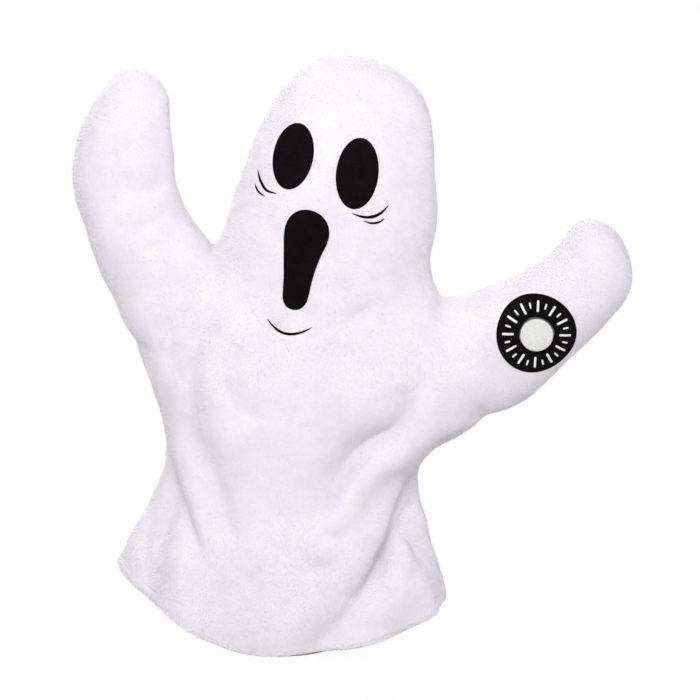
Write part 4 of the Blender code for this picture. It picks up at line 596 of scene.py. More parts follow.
def board_finish(name, colour, trace):
    graph = Graph(name)
    place = graph.place()
    lines = graph.node("ShaderNodeTexBrick", {"offset": 0.5}, Vector=place, Scale=240.0, Mortar_Size=0.06)
    lines.inputs["Color1"].default_value = (*colour, 1.0)
    lines.inputs["Color2"].default_value = (*mixed(colour, BLACK, 0.12), 1.0)
    lines.inputs["Mortar"].default_value = (*trace, 1.0)
    fibre = graph.noise(place, 1600.0, 2.0)
    return graph.finish(lines.outputs["Color"], graph.bump(fibre, 0.00005, 0.5), 0.35)


def paper_finish(name, colour):
    graph = Graph(name)
    place = graph.place()
    rings = graph.node(
        "ShaderNodeTexWave", {"wave_type": "RINGS", "rings_direction": "Z"}, Vector=place, Scale=90.0)
    fibre = graph.noise(place, 1300.0, 4.0, 0.7)
    dark, pale = mixed(colour, BLACK, 0.3), mixed(colour, (0.3, 0.28, 0.26), 0.3)
    tone = graph.ramp(fibre, ((0.3, dark), (0.7, pale)))
    height = graph.math("ADD", fibre, rings.outputs["Fac"])
    return graph.finish(tone, graph.bump(height, 0.0002, 0.5), 0.85)


def jacket_finish(name, colour, band):
    graph = Graph(name)
    place = graph.place()
    parts = graph.node("ShaderNodeSeparateXYZ", Vector=place)
    stripe = graph.math("GREATER_THAN", parts.outputs["X"], 0.0)
    wear = graph.noise(place, 500.0, 4.0)
    colours = graph.node("ShaderNodeMix", {"data_type": "RGBA"})
    graph.tree.links.new(stripe, colours.inputs["Factor"])
    colours.inputs[6].default_value = (*colour, 1.0)
    colours.inputs[7].default_value = (*band, 1.0)
    gloss = graph.math("ADD", graph.math("MULTIPLY", wear, 0.15), 0.22)
    return graph.finish(colours.outputs[2], graph.bump(wear, 0.00003, 0.4), gloss, Metallic=0.2)


def dress_node(name, material):
    node = frame["nodes"][name]
    node.data.materials.clear()
    node.data.materials.append(material)


MECHANISM_SLOTS = {
    "base_plastic": ("base_tray", "base_cover", "battery_door", "power_switch", "switch_slider"),
    "frame_plastic": (
        "gearbox_front_plate", "gearbox_back_plate", "drive_plate", "torso_frame", "head_disc",
        "right_arm_bone", "left_arm_bone", "right_push_rod", "left_push_rod", "press_switch",
        "press_button",
    ),
    "gear_plastic": ("output_gear", "reduction_gear", "motor_worm"),
    "steel": (
        "door_screw", "cell_spring_1", "cell_spring_2", "cell_spring_3", "contact_plate_left",
        "contact_plate_right", "gearbox_post_left", "gearbox_post_right", "hip_axle", "middle_shaft",
        "motor", "frame_spacer_left", "frame_spacer_right", "shoulder_pin_left", "shoulder_pin_right",
        "head_disc_screw", "crank_shaft", "motor_rotor",
    ),
    "cell_jacket": ("battery_cell_1", "battery_cell_2", "battery_cell_3"),
    "board": ("circuit_board",),
    "speaker_paper": ("speaker",),
    "stuffing": ("head_stuffing",),
}


# Settings
class GhostCoverSettings(bpy.types.PropertyGroup):
    """Sizes and colours of the fleece cover."""

    fleece_colour: bpy.props.FloatVectorProperty(
        name="Fleece Colour", description="Lit colour of the white fleece", size=3, subtype="COLOR",
        min=0, max=1, default=(0.925, 0.905, 0.939))
    # Painted shade: a darker lilac copy of the lit fleece colour, mixed in at random over the fleece as
    # painted shadow deep in the pile
    fleece_painted_shade: bpy.props.FloatVectorProperty(
        name="Fleece Shade", description="Colour deep in the pile", size=3, subtype="COLOR",
        min=0, max=1, default=(0.855, 0.825, 0.890))
    cell_size: bpy.props.FloatProperty(
        name="Cell Size", description="Size of the cover's surface cells", unit="LENGTH",
        default=0.0018, min=0.0015, max=0.006)
    cloth_thickness: bpy.props.FloatProperty(
        name="Cloth Thickness", description="Thickness of the fleece", unit="LENGTH",
        default=0.0025, min=0.001, max=0.006)
    lump_height: bpy.props.FloatProperty(
        name="Lump Height", description="Unevenness of the stuffed cover", unit="LENGTH",
        default=0.0011, min=0.0, max=0.004)
    hem_half_width: bpy.props.FloatProperty(
        name="Hem Half Width", description="Half thickness of the rolled hem", unit="LENGTH",
        default=0.0017, min=0.001, max=0.006)
    hem_half_height: bpy.props.FloatProperty(
        name="Hem Half Height", description="Half height of the rolled hem", unit="LENGTH",
        default=0.0030, min=0.001, max=0.008)


class GhostPileSettings(bpy.types.PropertyGroup):
    """The short pile that stands on the fleece."""

    density: bpy.props.FloatProperty(
        name="Density", description="Tufts on each square metre",
        default=1700000.0, min=1000.0, max=3000000.0)
    length: bpy.props.FloatProperty(
        name="Length", description="Length of a tuft", unit="LENGTH",
        default=0.0010, min=0.0003, max=0.006)
    width: bpy.props.FloatProperty(
        name="Width", description="Width of a tuft at its root", unit="LENGTH",
        default=0.00027, min=0.0001, max=0.002)
    bare_margin: bpy.props.FloatProperty(
        name="Bare Margin", description="Room kept clear of tufts round the prints", unit="LENGTH",
        default=0.0011, min=0.0, max=0.004)
    seed: bpy.props.IntProperty(name="Seed", description="Start of the random draws", default=11, min=0)


class GhostPrintSettings(bpy.types.PropertyGroup):
    """Felt eyes, mouth, lines and press ring."""

    felt_colour: bpy.props.FloatVectorProperty(
        name="Felt Colour", description="Colour of the black prints", size=3, subtype="COLOR",
        min=0, max=1, default=(0.0030, 0.0027, 0.0029))
    felt_fleck: bpy.props.FloatVectorProperty(
        name="Felt Fleck", description="Paler flecks in the black prints", size=3, subtype="COLOR",
        min=0, max=1, default=(0.012, 0.010, 0.0115))
    lift: bpy.props.FloatProperty(
        name="Lift", description="How far the felt stands off the fleece", unit="LENGTH",
        default=0.0009, min=0.0002, max=0.003)
    ring_radius: bpy.props.FloatProperty(
        name="Ring Radius", description="Outer radius of the press ring", unit="LENGTH",
        default=0.0220, min=0.012, max=0.03)
    disc_radius: bpy.props.FloatProperty(
        name="Disc Radius", description="Radius of the white centre", unit="LENGTH",
        default=0.0090, min=0.005, max=0.0094)
    mark_count: bpy.props.IntProperty(
        name="Mark Count", description="Scale marks round the ring", default=24, min=4, max=60)
    mark_inner: bpy.props.FloatProperty(
        name="Mark Inner Radius", description="Where the scale marks start", unit="LENGTH",
        default=0.0126, min=0.01, max=0.02)
    mark_outer: bpy.props.FloatProperty(
        name="Mark Outer Radius", description="Where the scale marks end", unit="LENGTH",
        default=0.0188, min=0.012, max=0.022)


class GhostStageSettings(bpy.types.PropertyGroup):
    """Camera, floor and lamps."""

    camera_elevation: bpy.props.FloatProperty(
        name="Camera Elevation", description="Height of the view above level", subtype="ANGLE",
        default=math.radians(15.0))
    camera_distance: bpy.props.FloatProperty(
        name="Camera Distance", description="From the camera to the figure", unit="LENGTH",
        default=3.0, min=0.5, max=8.0)
    lens: bpy.props.FloatProperty(
        name="Lens", description="Focal length in millimetres", default=280.4, min=20.0, max=600.0)
    key_power: bpy.props.FloatProperty(
        name="Key Power", description="Power of the main lamp in watts", default=0.72, min=0.0, max=500.0)
    fill_power: bpy.props.FloatProperty(
        name="Fill Power", description="Power of the fill lamp in watts", default=4.8, min=0.0, max=500.0)
    side_power: bpy.props.FloatProperty(
        name="Side Power", description="Power of the lamp on the other side in watts", default=2.9,
        min=0.0, max=500.0)
    back_power: bpy.props.FloatProperty(
        name="Back Power", description="Power of the lamp behind in watts", default=9.0, min=0.0, max=500.0)
    room_light: bpy.props.FloatProperty(
        name="Room Light", description="Strength of the even light", default=0.575, min=0.0, max=3.0)


# Fleece cover
def hem_rise(x):
    right = np.clip((HEM_LOWEST_X - x) / HEM_RIGHT_REACH, 0, HEM_REACH_LIMIT) ** HEM_RIGHT_CURVE
    left = np.clip((x - HEM_LOWEST_X) / HEM_LEFT_REACH, 0, HEM_REACH_LIMIT) ** HEM_LEFT_CURVE
    return HEM_CLEARANCE + HEM_RISE * (left + right)


def cover_rows():
    size = np.array((COVER_HEIGHT, COVER_HALF_WIDTH, COVER_HALF_WIDTH, COVER_HALF_DEPTH))
    rows = np.array(COVER_ROW_SHARES) * size
    foot = rows[0].copy()
    foot[0] = COVER_FOOT
    crown = np.array((COVER_HEIGHT, CROWN_SHARE * COVER_HALF_WIDTH, CROWN_SHARE * COVER_HALF_WIDTH, 0.0))
    run = spline(np.vstack((rows, crown)), 6)
    run[-1, 1] -= CROWN_HALF
    run[-1, 2] += CROWN_HALF
    run[-1, 3] = CROWN_HALF
    return np.vstack((foot, run))


def cover_form():
    across, deep = section(160, COVER_ROUNDNESS)
    rings = []
    for height, left, right, depth in cover_rows():
        x = (left + right) / 2 + (right - left) / 2 * across
        rings.append(np.column_stack((x, depth * deep, np.full(len(x), height))))
    return loft(rings)


def arm_form(side, angle_deg, length, rows):
    angle = math.radians(angle_deg)
    direction = np.array((math.sin(angle), 0.0, math.cos(angle)))
    outer_way = np.array((side * direction[2], 0.0, -side * direction[0]))
    shoulder = np.array((side * SHOULDER_X, 0.0, SHOULDER_Z))
    stations = []
    for turn in np.linspace(0.08, 0.94, 6) * math.pi / 2:
        half = ARM_ROOT_RADIUS * math.sin(turn)
        outer = half * (ROOT_OUTER_SHARES[side] * (1 - math.sin(turn)) + rows[0][2] * math.sin(turn))
        stations.append((-ARM_ROOT_RADIUS * math.cos(turn), -half, outer, ARM_DEPTH * rows[0][3]))
    for along, inner, outer, depth in rows:
        stations.append(
            (along * length, inner * ARM_ROOT_RADIUS, outer * ARM_ROOT_RADIUS, depth * ARM_DEPTH))
    middle = (stations[-1][1] + stations[-1][2]) / 2
    stations.append((length, middle - 0.001, middle + 0.001, 0.001))
    across, deep = section(96, ARM_ROUNDNESS)
    rings = []
    for along, inner, outer, depth in spline(stations, 5):
        run = (inner + outer) / 2 + (outer - inner) / 2 * across
        place = shoulder + direction * along + run[:, None] * outer_way
        place[:, 1] = depth * deep
        rings.append(place)
    return loft(rings)


def cover_edges(heights):
    """Left, right and depth of the cover at heights."""
    rows = cover_rows()
    return tuple(np.interp(heights, rows[:, 0], rows[:, column]) for column in (1, 2, 3))


def skirt_folds(points):
    """Inward push of the leaning folds round the skirt."""
    swell_place, swell_width, swell_height = SKIRT_SWELL_SHARES
    left, right, depth = cover_edges(points[:, 2])
    half = (right - left) / 2
    across = np.clip((points[:, 0] - (left + right) / 2) / half, -1.2, 1.2)
    deep = np.clip(points[:, 1] / np.maximum(depth, 1e-4), -1.2, 1.2)
    power = COVER_ROUNDNESS / 2
    turn = np.arctan2(np.sign(deep) * np.abs(deep) ** power, np.sign(across) * np.abs(across) ** power)
    share = (turn / (2 * math.pi)) % 1.0
    height = np.clip(points[:, 2] / COVER_HEIGHT, 0, 1)
    push = np.zeros(len(points))
    for foot, amount, top, top_height in SKIRT_FOLD_SHARES:
        climb = np.clip(height / top_height, 0, 1)
        apart = np.abs((share - foot - (top - foot) * climb + 0.5) % 1.0 - 0.5)
        fade = amount * (1 - climb) ** SKIRT_FOLD_FADE_SHARE
        valley = np.exp(-((apart / SKIRT_FOLD_WIDTH_SHARE) ** 2))
        swell = np.exp(-(((apart - swell_place) / swell_width) ** 2))
        push += fade * (valley - swell_height * swell)
    return SKIRT_FOLD_DEPTH * push


def ripple(points, size, seed):
    offset = Vector((seed * 3.1, seed * 1.7, seed * 2.3))
    return np.array([noise.noise(Vector(point) / size + offset) for point in points])


def near_places(points, places):
    """From 0 far away to 1 at the nearest of some places across and up."""
    near = np.zeros(len(points))
    for x, z, reach in places:
        near = np.maximum(near, np.exp(-(((points[:, 0] - x) ** 2 + (points[:, 2] - z) ** 2) / reach**2)))
    return near


def sculpt_cover(mesh, settings):
    """Rounds the joined forms and presses the folds into them, on the upright figure."""
    edges = read_edges(mesh)
    points = read_points(mesh)
    points = relax(points, edges, 10, 0.5, 1 - 0.75 * near_places(points, SHARP_NOTCHES))
    points = relax(points, edges, 14, 0.5, near_places(points, SOFT_NOTCHES))
    write_points(mesh, points)
    normals = read_normals(mesh)
    places = points[:, (0, 2)]
    front = smoothstep(0.0, 0.012, -points[:, 1])
    back = smoothstep(0.0, 0.012, points[:, 1])
    push = skirt_folds(points)
    for fold in FRONT_FOLDS:
        push += front * crease(places, *fold)
    for fold in BACK_FOLDS:
        push += back * crease(places, *fold)
    for fold in ARM_FOLDS:
        push += crease(places, *fold)
    seam = np.exp(-((points[:, 1] / SEAM_HALF_WIDTH) ** 2)) * smoothstep(0.012, 0.03, points[:, 2])
    push += SEAM_DEPTH * seam
    push -= settings.lump_height * ripple(points, BROAD_LUMP_SIZE, 1)
    push -= settings.lump_height * FINE_LUMP_SHARE * ripple(points, FINE_LUMP_SIZE, 2)
    points = points - normals * push[:, None]
    points = relax(points, edges, 1)
    pocket = np.hypot(points[:, 0] - PRESS_X, points[:, 2] - PRESS_Z)
    sunk = smoothstep(PRESS_SLOPE_TOP, PRESS_SLOPE_FOOT, pocket) * (points[:, 1] < 0)
    points[:, 1] = np.where(
        sunk > 0, points[:, 1] * (1 - sunk) + PRESS_POCKET_FLOOR_Y * sunk, points[:, 1])
    write_points(mesh, points)


def cut_hem(mesh):
    """Takes the foot of the cover off along the hem and lifts the hem at its ends."""
    bm = bmesh.new()
    bm.from_mesh(mesh)
    everything = list(bm.verts) + list(bm.edges) + list(bm.faces)
    bmesh.ops.bisect_plane(
        bm, geom=everything, dist=1e-6, plane_co=(0, 0, 0), plane_no=(0, 0, 1), clear_inner=True)
    for vertex in bm.verts:
        part = max(0.0, 1 - vertex.co.z / HEM_RISE_END)
        vertex.co.z += float(hem_rise(np.array(vertex.co.x))) * part
    bm.to_mesh(mesh)
    bm.free()


def on_arm(side, start, way, x, z):
    """Whether a place lies past an arm's seam and off the head."""
    beyond = (x - start[0]) * way[0] + (z - start[1]) * way[1]
    if beyond <= 0:
        return False
    return z < SEAM_TOP or side * x > HEAD_SIDES[side]


def split_arms(mesh):
    """Cuts the skin at the two arm seams, and returns torso, right and left as arrays."""
    bm = bmesh.new()
    bm.from_mesh(mesh)
    bm.normal_update()
    kept = bm.verts.layers.float_vector.new("skin_normal")
    for vertex in bm.verts:
        vertex[kept] = vertex.normal
    for side, _, _, _, start, way, _ in ARMS.values():
        near = []
        for face in bm.faces:
            middle = face.calc_center_median()
            out = side * middle.x
            if out > SEAM_NEAR_X and middle.z > SEAM_NEAR_FOOT:
                if middle.z < SEAM_NEAR_TOP or out > HEAD_SIDES[-1]:
                    near.append(face)
        geometry = near + list({edge for face in near for edge in face.edges})
        geometry += list({vertex for face in near for vertex in face.verts})
        bmesh.ops.bisect_plane(
            bm, geom=geometry, dist=1e-5, plane_co=(start[0], 0, start[1]), plane_no=(way[0], 0, way[1]))
    bm.verts.ensure_lookup_table()
    parts = {"torso": [], "right": [], "left": []}
    for face in bm.faces:
        middle = face.calc_center_median()
        owner = "torso"
        for name, (side, _, _, _, start, way, _) in ARMS.items():
            if side * middle.x > 0 and on_arm(side, start, way, middle.x, middle.z):
                owner = name
        parts[owner].append(tuple(vertex.index for vertex in face.verts))
    bm.verts.index_update()
    points = np.array([vertex.co for vertex in bm.verts])
    normals = np.array([vertex[kept] for vertex in bm.verts])
    bm.free()
    normals /= np.linalg.norm(normals, axis=1)[:, None]
    return points, normals, parts


def take_part(points, normals, faces):
    used = sorted({index for face in faces for index in face})
    place = {index: number for number, index in enumerate(used)}
    return points[used], normals[used], [tuple(place[index] for index in face) for face in faces]


def rim_edges(faces):
    """Edges that only one face uses, in that face's direction."""
    seen = {}
    for face in faces:
        for first, second in zip(face, face[1:] + face[:1]):
            seen[(first, second)] = True
    return [edge for edge in seen if (edge[1], edge[0]) not in seen]


def shell(points, normals, faces, thickness):
    """Gives a skin its thickness: outer and inner face, joined round every rim."""
    count = len(points)
    inner = points - normals * thickness
    all_faces = list(faces)
    all_faces += [tuple(index + count for index in face[::-1]) for face in faces]
    for first, second in rim_edges(faces):
        all_faces.append((second, first, first + count, second + count))
    return np.vstack((points, inner)), np.vstack((normals, -normals)), all_faces


def capped(points, normals, faces, middle_normal):
    """Closes a skin across its one rim with a fan."""
    edges = rim_edges(faces)
    rim = sorted({index for edge in edges for index in edge})
    points = np.vstack((points, points[rim].mean(axis=0)))
    normals = np.vstack((normals, middle_normal))
    middle = len(points) - 1
    return points, normals, list(faces) + [(second, first, middle) for first, second in edges]


def skin_object(name, points, normals, faces, material):
    mesh = new_mesh(name, to_row(points), faces)
    thing = add_object(name, mesh, material)
    mesh.normals_split_custom_set_from_vertices([tuple(normal) for normal in turn_to_row(normals)])
    return thing


class GHOST_OT_sew_cover(bpy.types.Operator):
    """Sews the fleece cover of torso and head, and the two stuffed arms"""

    bl_idname = "ghost.sew_cover"
    bl_label = "Sew Cover"

    def execute(self, context):
        settings = context.scene.ghost_cover
        forms = [cover_form()] + [arm_form(*values[:4]) for values in ARMS.values()]
        points, faces, start = [], [], 0
        for form_points, form_faces in forms:
            points.append(form_points)
            faces += [tuple(index + start for index in face) for face in form_faces]
            start += len(form_points)
        rough_mesh = new_mesh("cover_rough", np.vstack(points), faces)
        outward(rough_mesh)
        rough = add_object("cover_rough", rough_mesh)
        remesh = rough.modifiers.new("Cells", "REMESH")
        remesh.mode = "VOXEL"
        remesh.voxel_size = settings.cell_size
        remesh.adaptivity = 0.0
        mesh = bpy.data.meshes.new_from_object(rough.evaluated_get(context.evaluated_depsgraph_get()))
        bpy.data.objects.remove(rough)
        if len(mesh.polygons) < 5000:
            raise RuntimeError("the cover has too few cells")
        sculpt_cover(mesh, settings)
        cut_hem(mesh)
        bm = bmesh.new()
        bm.from_mesh(mesh)
        made["skin"] = BVHTree.FromBMesh(bm)
        bm.free()
        material = fleece_finish("fleece", settings.fleece_colour, settings.fleece_painted_shade)
        made["fleece"] = material
        points, normals, parts = split_arms(mesh)
        made["open_parts"] = {}
        for name, faces in parts.items():
            part = take_part(points, normals, faces)
            made["open_parts"][name] = part
            if name == "torso":
                body = skin_object("torso_fleece", *shell(*part, settings.cloth_thickness), material)
                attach(body, "torso")
                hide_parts("torso_cover")
            else:
                way = ARMS[name][5]
                arm = skin_object(f"{name}_arm_fleece", *capped(*part, (-way[0], 0.0, -way[1])), material)
                blend_arm(arm)
                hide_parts(f"{name}_arm_plush")
        bpy.data.meshes.remove(mesh)
        return {"FINISHED"}


def blend_arm(thing):
    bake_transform(thing)


def even_run(values, steps, total, wanted):
    """A closed run of rows, taken at the wanted distances along it."""
    return np.column_stack([
        np.interp(wanted, np.append(steps, total), np.append(values[:, axis], values[0, axis]))
        for axis in range(3)])


def ordered_rim(points, faces, low):
    """The rim loop whose points lie below a height, in order."""
    after = {first: second for first, second in rim_edges(faces) if points[first][2] < low}
    start = next(iter(after))
    loop = [start]
    while after[loop[-1]] != start:
        loop.append(after[loop[-1]])
    return loop


class GHOST_OT_roll_hem(bpy.types.Operator):
    """Rolls and sews the hem round the foot of the cover"""

    bl_idname = "ghost.roll_hem"
    bl_label = "Roll Hem"

    def execute(self, context):
        settings = context.scene.ghost_cover
        points, normals, faces = made["open_parts"]["torso"]
        loop = ordered_rim(points, faces, 0.05)
        centre = points[loop] - normals[loop] * settings.cloth_thickness * HEM_INSET_SHARE
        out = normals[loop] * np.array((1.0, 1.0, 0.0))
        out /= np.linalg.norm(out, axis=1)[:, None]
        steps = np.concatenate(([0.0], np.cumsum(np.linalg.norm(np.diff(centre, axis=0), axis=1))))
        total = steps[-1] + np.linalg.norm(centre[0] - centre[-1])
        count = int(total / HEM_STEP)
        wanted = np.arange(count) * total / count
        centre, out = (even_run(values, steps, total, wanted) for values in (centre, out))
        for _ in range(4):
            out = (np.roll(out, 1, axis=0) + 2 * out + np.roll(out, -1, axis=0)) / 4
            centre = (np.roll(centre, 1, axis=0) + 2 * centre + np.roll(centre, -1, axis=0)) / 4
        out /= np.linalg.norm(out, axis=1)[:, None]
        uneven = ripple(centre, HEM_RIPPLE_SIZE, 5)
        rings = []
        for number in range(HEM_SIDES):
            turn = 2 * math.pi * number / HEM_SIDES
            wide = settings.hem_half_width * (1 + 0.14 * uneven)
            high = settings.hem_half_height * (1 + 0.10 * uneven)
            ring = centre + out * (wide * math.cos(turn))[:, None]
            ring = ring + np.column_stack((np.zeros((count, 2)), high * (math.sin(turn) + HEM_DROP_SHARE)))
            rings.append(ring)
        faces = tube_faces(HEM_SIDES, count, True)
        mesh = new_mesh("hem_roll", to_row(np.vstack(rings)), faces)
        outward(mesh)
        hem = add_object("hem_roll", mesh, made["fleece"])
        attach(hem, "torso")
        return {"FINISHED"}


# Prints
def surface_y(x, z):
    hit = made["skin"].ray_cast(Vector((x, -0.2, z)), Vector((0.0, 1.0, 0.0)))[0]
    if hit is None:
        hit = made["skin"].find_nearest(Vector((x, -0.01, z)))[0]
    return hit.y


def conformed(rings, lifts):
    """Points of rings of (x, z) places laid on the skin, each ring lifted off it."""
    laid = []
    for ring, lift in zip(rings, lifts):
        laid.append(np.array([(x, surface_y(x, z) - lift, z) for x, z in ring]))
    return laid


def patch_mesh(name, outline, middle, lift, step=0.0016):
    """A felt patch on the skin, closed behind, from its outline towards its middle."""
    outline, middle = np.array(outline), np.array(middle)
    reach = np.linalg.norm(outline - middle, axis=1).min()
    edge = (0.0, 0.00012, 0.00045, 0.0010)
    shares = [1 - inset / reach for inset in edge]
    inner = list(np.arange(shares[-1], 0.04, -step / reach))[1:] + [0.03]
    top_shares = shares + inner
    top_lifts = [0.3 * lift, 0.75 * lift, 0.95 * lift] + [lift] * (len(top_shares) - 3)
    back_shares = [1.0] + inner
    rings = [middle + (outline - middle) * share for share in back_shares[::-1]]
    lifts = [-FELT_ROOT] * len(rings)
    rings += [middle + (outline - middle) * share for share in top_shares]
    lifts += top_lifts
    laid = conformed(rings, lifts)
    count = len(outline)
    faces = tube_faces(len(laid), count, False)
    faces.append(tuple(range(count))[::-1])
    faces.append(tuple(range((len(laid) - 1) * count, len(laid) * count)))
    mesh = new_mesh(name, to_row(np.vstack(laid)), faces)
    outward(mesh)
    return mesh


def eye_outline(x, z, half_width, half_height, tilt_deg):
    turns = np.arange(72) * 2 * math.pi / 72
    tilt = math.radians(tilt_deg)
    across, up = half_width * np.cos(turns), half_height * np.sin(turns)
    return np.column_stack((x + across * math.cos(tilt) + up * math.sin(tilt),
                            z - across * math.sin(tilt) + up * math.cos(tilt))) / 1000.0


def line_mesh(half_width, line, lift):
    """A thin tapered printed line on the skin."""
    run = spline(millimetres(line), 8)
    along = np.gradient(run, axis=0)
    along /= np.linalg.norm(along, axis=1)[:, None]
    across = np.column_stack((-along[:, 1], along[:, 0]))
    share = np.linspace(0, 1, len(run))
    half = half_width / 1000.0 * np.clip(np.sin(math.pi * share), 0.04, 1) ** 0.65
    rings = []
    flank = 0.25 * lift
    profile = ((-1.0, -FELT_ROOT), (-1.0, flank), (-0.5, lift), (0.5, lift), (1.0, flank), (1.0, -FELT_ROOT))
    for offset, height in profile:
        places = run + across * (half * offset)[:, None]
        rings.append(np.array([(x, surface_y(x, z) - height, z) for x, z in places]))
    count = len(run)
    points = np.vstack(rings)
    faces = []
    for ring in range(len(rings)):
        low, high = ring * count, (ring + 1) % len(rings) * count
        for index in range(count - 1):
            faces.append((low + index, low + index + 1, high + index + 1, high + index))
    faces.append(tuple(ring * count for ring in range(len(rings))))
    faces.append(tuple(ring * count + count - 1 for ring in range(len(rings)))[::-1])
    return points, faces


def joined_mesh(name, parts):
    points, faces, start = [], [], 0
    for part_points, part_faces in parts:
        points.append(part_points)
        faces += [tuple(index + start for index in face) for face in part_faces]
        start += len(part_points)
    mesh = new_mesh(name, to_row(np.vstack(points)), faces)
    outward(mesh)
    return mesh


class GHOST_OT_print_face(bpy.types.Operator):
    """Lays the felt eyes, the felt mouth and the fine face lines on the head"""

    bl_idname = "ghost.print_face"
    bl_label = "Print Face"

    def execute(self, context):
        settings = context.scene.ghost_print
        felt = felt_finish("black_felt", settings.felt_colour, settings.felt_fleck)
        made["felt"] = felt
        for name, (node, x, z, half_width, half_height, tilt) in EYES.items():
            outline = eye_outline(x, z, half_width, half_height, tilt)
            mesh = patch_mesh(name, outline, millimetres((x, z)), settings.lift)
            eye = add_object(name, mesh, felt)
            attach(eye, "torso")
            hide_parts(node)
        outline = spline(millimetres(MOUTH_OUTLINE), 4, closed=True)
        mesh = patch_mesh("mouth_felt", outline, millimetres(MOUTH_MIDDLE), settings.lift)
        mouth = add_object("mouth_felt", mesh, felt)
        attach(mouth, "torso")
        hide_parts("mouth_patch")
        lines = joined_mesh(
            "face_lines", [line_mesh(half, line, FACE_LINE_LIFT) for half, line in FACE_LINES])
        drawn = add_object("face_lines", lines, felt)
        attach(drawn, "torso")
        return {"FINISHED"}


def round_ring(radius, count=96):
    turns = np.arange(count) * 2 * math.pi / count
    return np.column_stack((PRESS_X + radius * np.cos(turns), PRESS_Z + radius * np.sin(turns)))


def press_surface_y(x, z):
    """The skin round the button, level with the top of its slope within that."""
    away = np.array((x - PRESS_X, z - PRESS_Z))
    away *= max(1.0, (PRESS_SLOPE_TOP + 0.0002) / np.linalg.norm(away))
    return surface_y(PRESS_X + away[0], PRESS_Z + away[1])


class GHOST_OT_print_ring(bpy.types.Operator):
    """Lays the felt press ring with its scale marks round the button"""

    bl_idname = "ghost.print_ring"
    bl_label = "Print Ring"

    def execute(self, context):
        settings = context.scene.ghost_print
        lift = settings.lift
        inner, outer = PRESS_POCKET_RADIUS, settings.ring_radius
        radii = [inner + 0.0001] + list(np.arange(inner + RING_STEP, outer - 0.001, RING_STEP))
        radii += [outer - 0.0005, outer - 0.0001, outer]
        lifts = [0.75 * lift] + [lift] * (len(radii) - 4) + [0.95 * lift, 0.75 * lift, 0.3 * lift]
        backs = [-0.0045 if radius < PRESS_SLOPE_FOOT else -0.0007 for radius in radii]
        laid = []
        for radius, height in zip(radii + radii[::-1], lifts + backs[::-1]):
            laid.append(np.array([(x, press_surface_y(x, z) - height, z) for x, z in round_ring(radius)]))
        faces = tube_faces(len(laid), 96, True)
        mesh = new_mesh("press_ring_felt", to_row(np.vstack(laid)), faces)
        outward(mesh)
        ring = add_object("press_ring_felt", mesh, made["felt"])
        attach(ring, "left_arm")
        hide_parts("press_ring")
        marks = []
        for number in range(settings.mark_count):
            turn = 2 * math.pi * (number + 0.5) / settings.mark_count
            start, end, half_width = settings.mark_inner, settings.mark_outer, LONG_MARK_HALF_WIDTH
            if number % 2:
                start += SHORT_MARK_INSETS[0]
                end -= SHORT_MARK_INSETS[1]
                half_width = SHORT_MARK_HALF_WIDTH
            marks.append(self.mark(turn, start, end, half_width, lift))
        mesh = joined_mesh("press_ring_marks", marks)
        white = felt_finish("white_print", (0.86, 0.86, 0.84), (0.80, 0.80, 0.79))
        scale = add_object("press_ring_marks", mesh, white, smooth=False)
        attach(scale, "left_arm")
        return {"FINISHED"}

    def mark(self, turn, start, end, half_width, lift):
        low, edge, top = lift - 0.0003, lift + 0.00022, lift + 0.00028
        profile = ((-1, low), (-1, edge), (0, top), (1, edge), (1, low))
        stations = 9
        way = np.array((math.cos(turn), math.sin(turn)))
        across = np.array((-way[1], way[0]))
        rings = []
        for share in np.linspace(0, 1, stations):
            radius = start + (end - start) * share
            half = half_width * (0.8 if share in (0.0, 1.0) else 1.0)
            ring = []
            for offset, height in profile:
                x, z = way * radius + across * half * offset + (PRESS_X, PRESS_Z)
                ring.append((x, press_surface_y(x, z) - height, z))
            rings.append(ring)
        points = np.array([point for ring in rings for point in ring])
        count, end = len(profile), (stations - 1) * len(profile)
        faces = tube_faces(stations, count, False)
        faces.append(tuple(range(count))[::-1])
        faces.append(tuple(range(end, end + count)))
        return points, faces


class GHOST_OT_cover_button(bpy.types.Operator):
    """Covers the press button with a white woven disc"""

    bl_idname = "ghost.cover_button"
    bl_label = "Cover Button"

    def execute(self, context):
        settings = context.scene.ghost_print
        radius = settings.disc_radius
        profile = (
            (0.0, -0.0001), (0.62, -0.0001), (0.90, -0.0001), (0.985, 0.0001), (1.0, 0.0004),
            (0.985, 0.0007), (0.94, 0.00086), (0.80, 0.00102), (0.55, 0.0012), (0.25, 0.0013), (0.0, 0.00134),
        )
        rings = []
        for share, height in profile[1:-1]:
            ring = round_ring(radius * share, 64)
            y = np.full(64, PRESS_CAP_FRONT_Y - height)
            rings.append(np.column_stack((ring[:, 0], y, ring[:, 1])))
        points, faces = loft(rings)
        mesh = new_mesh("button_cover", to_row(points), faces)
        outward(mesh)
        weave = woven_finish("white_weave", (0.84, 0.84, 0.82), (0.74, 0.74, 0.72))
        disc = add_object("button_cover", mesh, weave)
        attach(disc, "button")
        return {"FINISHED"}


# Short pile
NAP_LEAN = 0.85
TUFT_JITTER = 0.40
TUFT_SCALES = (0.7, 1.15)
PRINTS = ("right_eye_felt", "left_eye_felt", "mouth_felt", "face_lines", "press_ring_felt", "button_cover")
SKIRT_PILE_TOP = 0.10
CHEST_PILE_TOP = 0.205


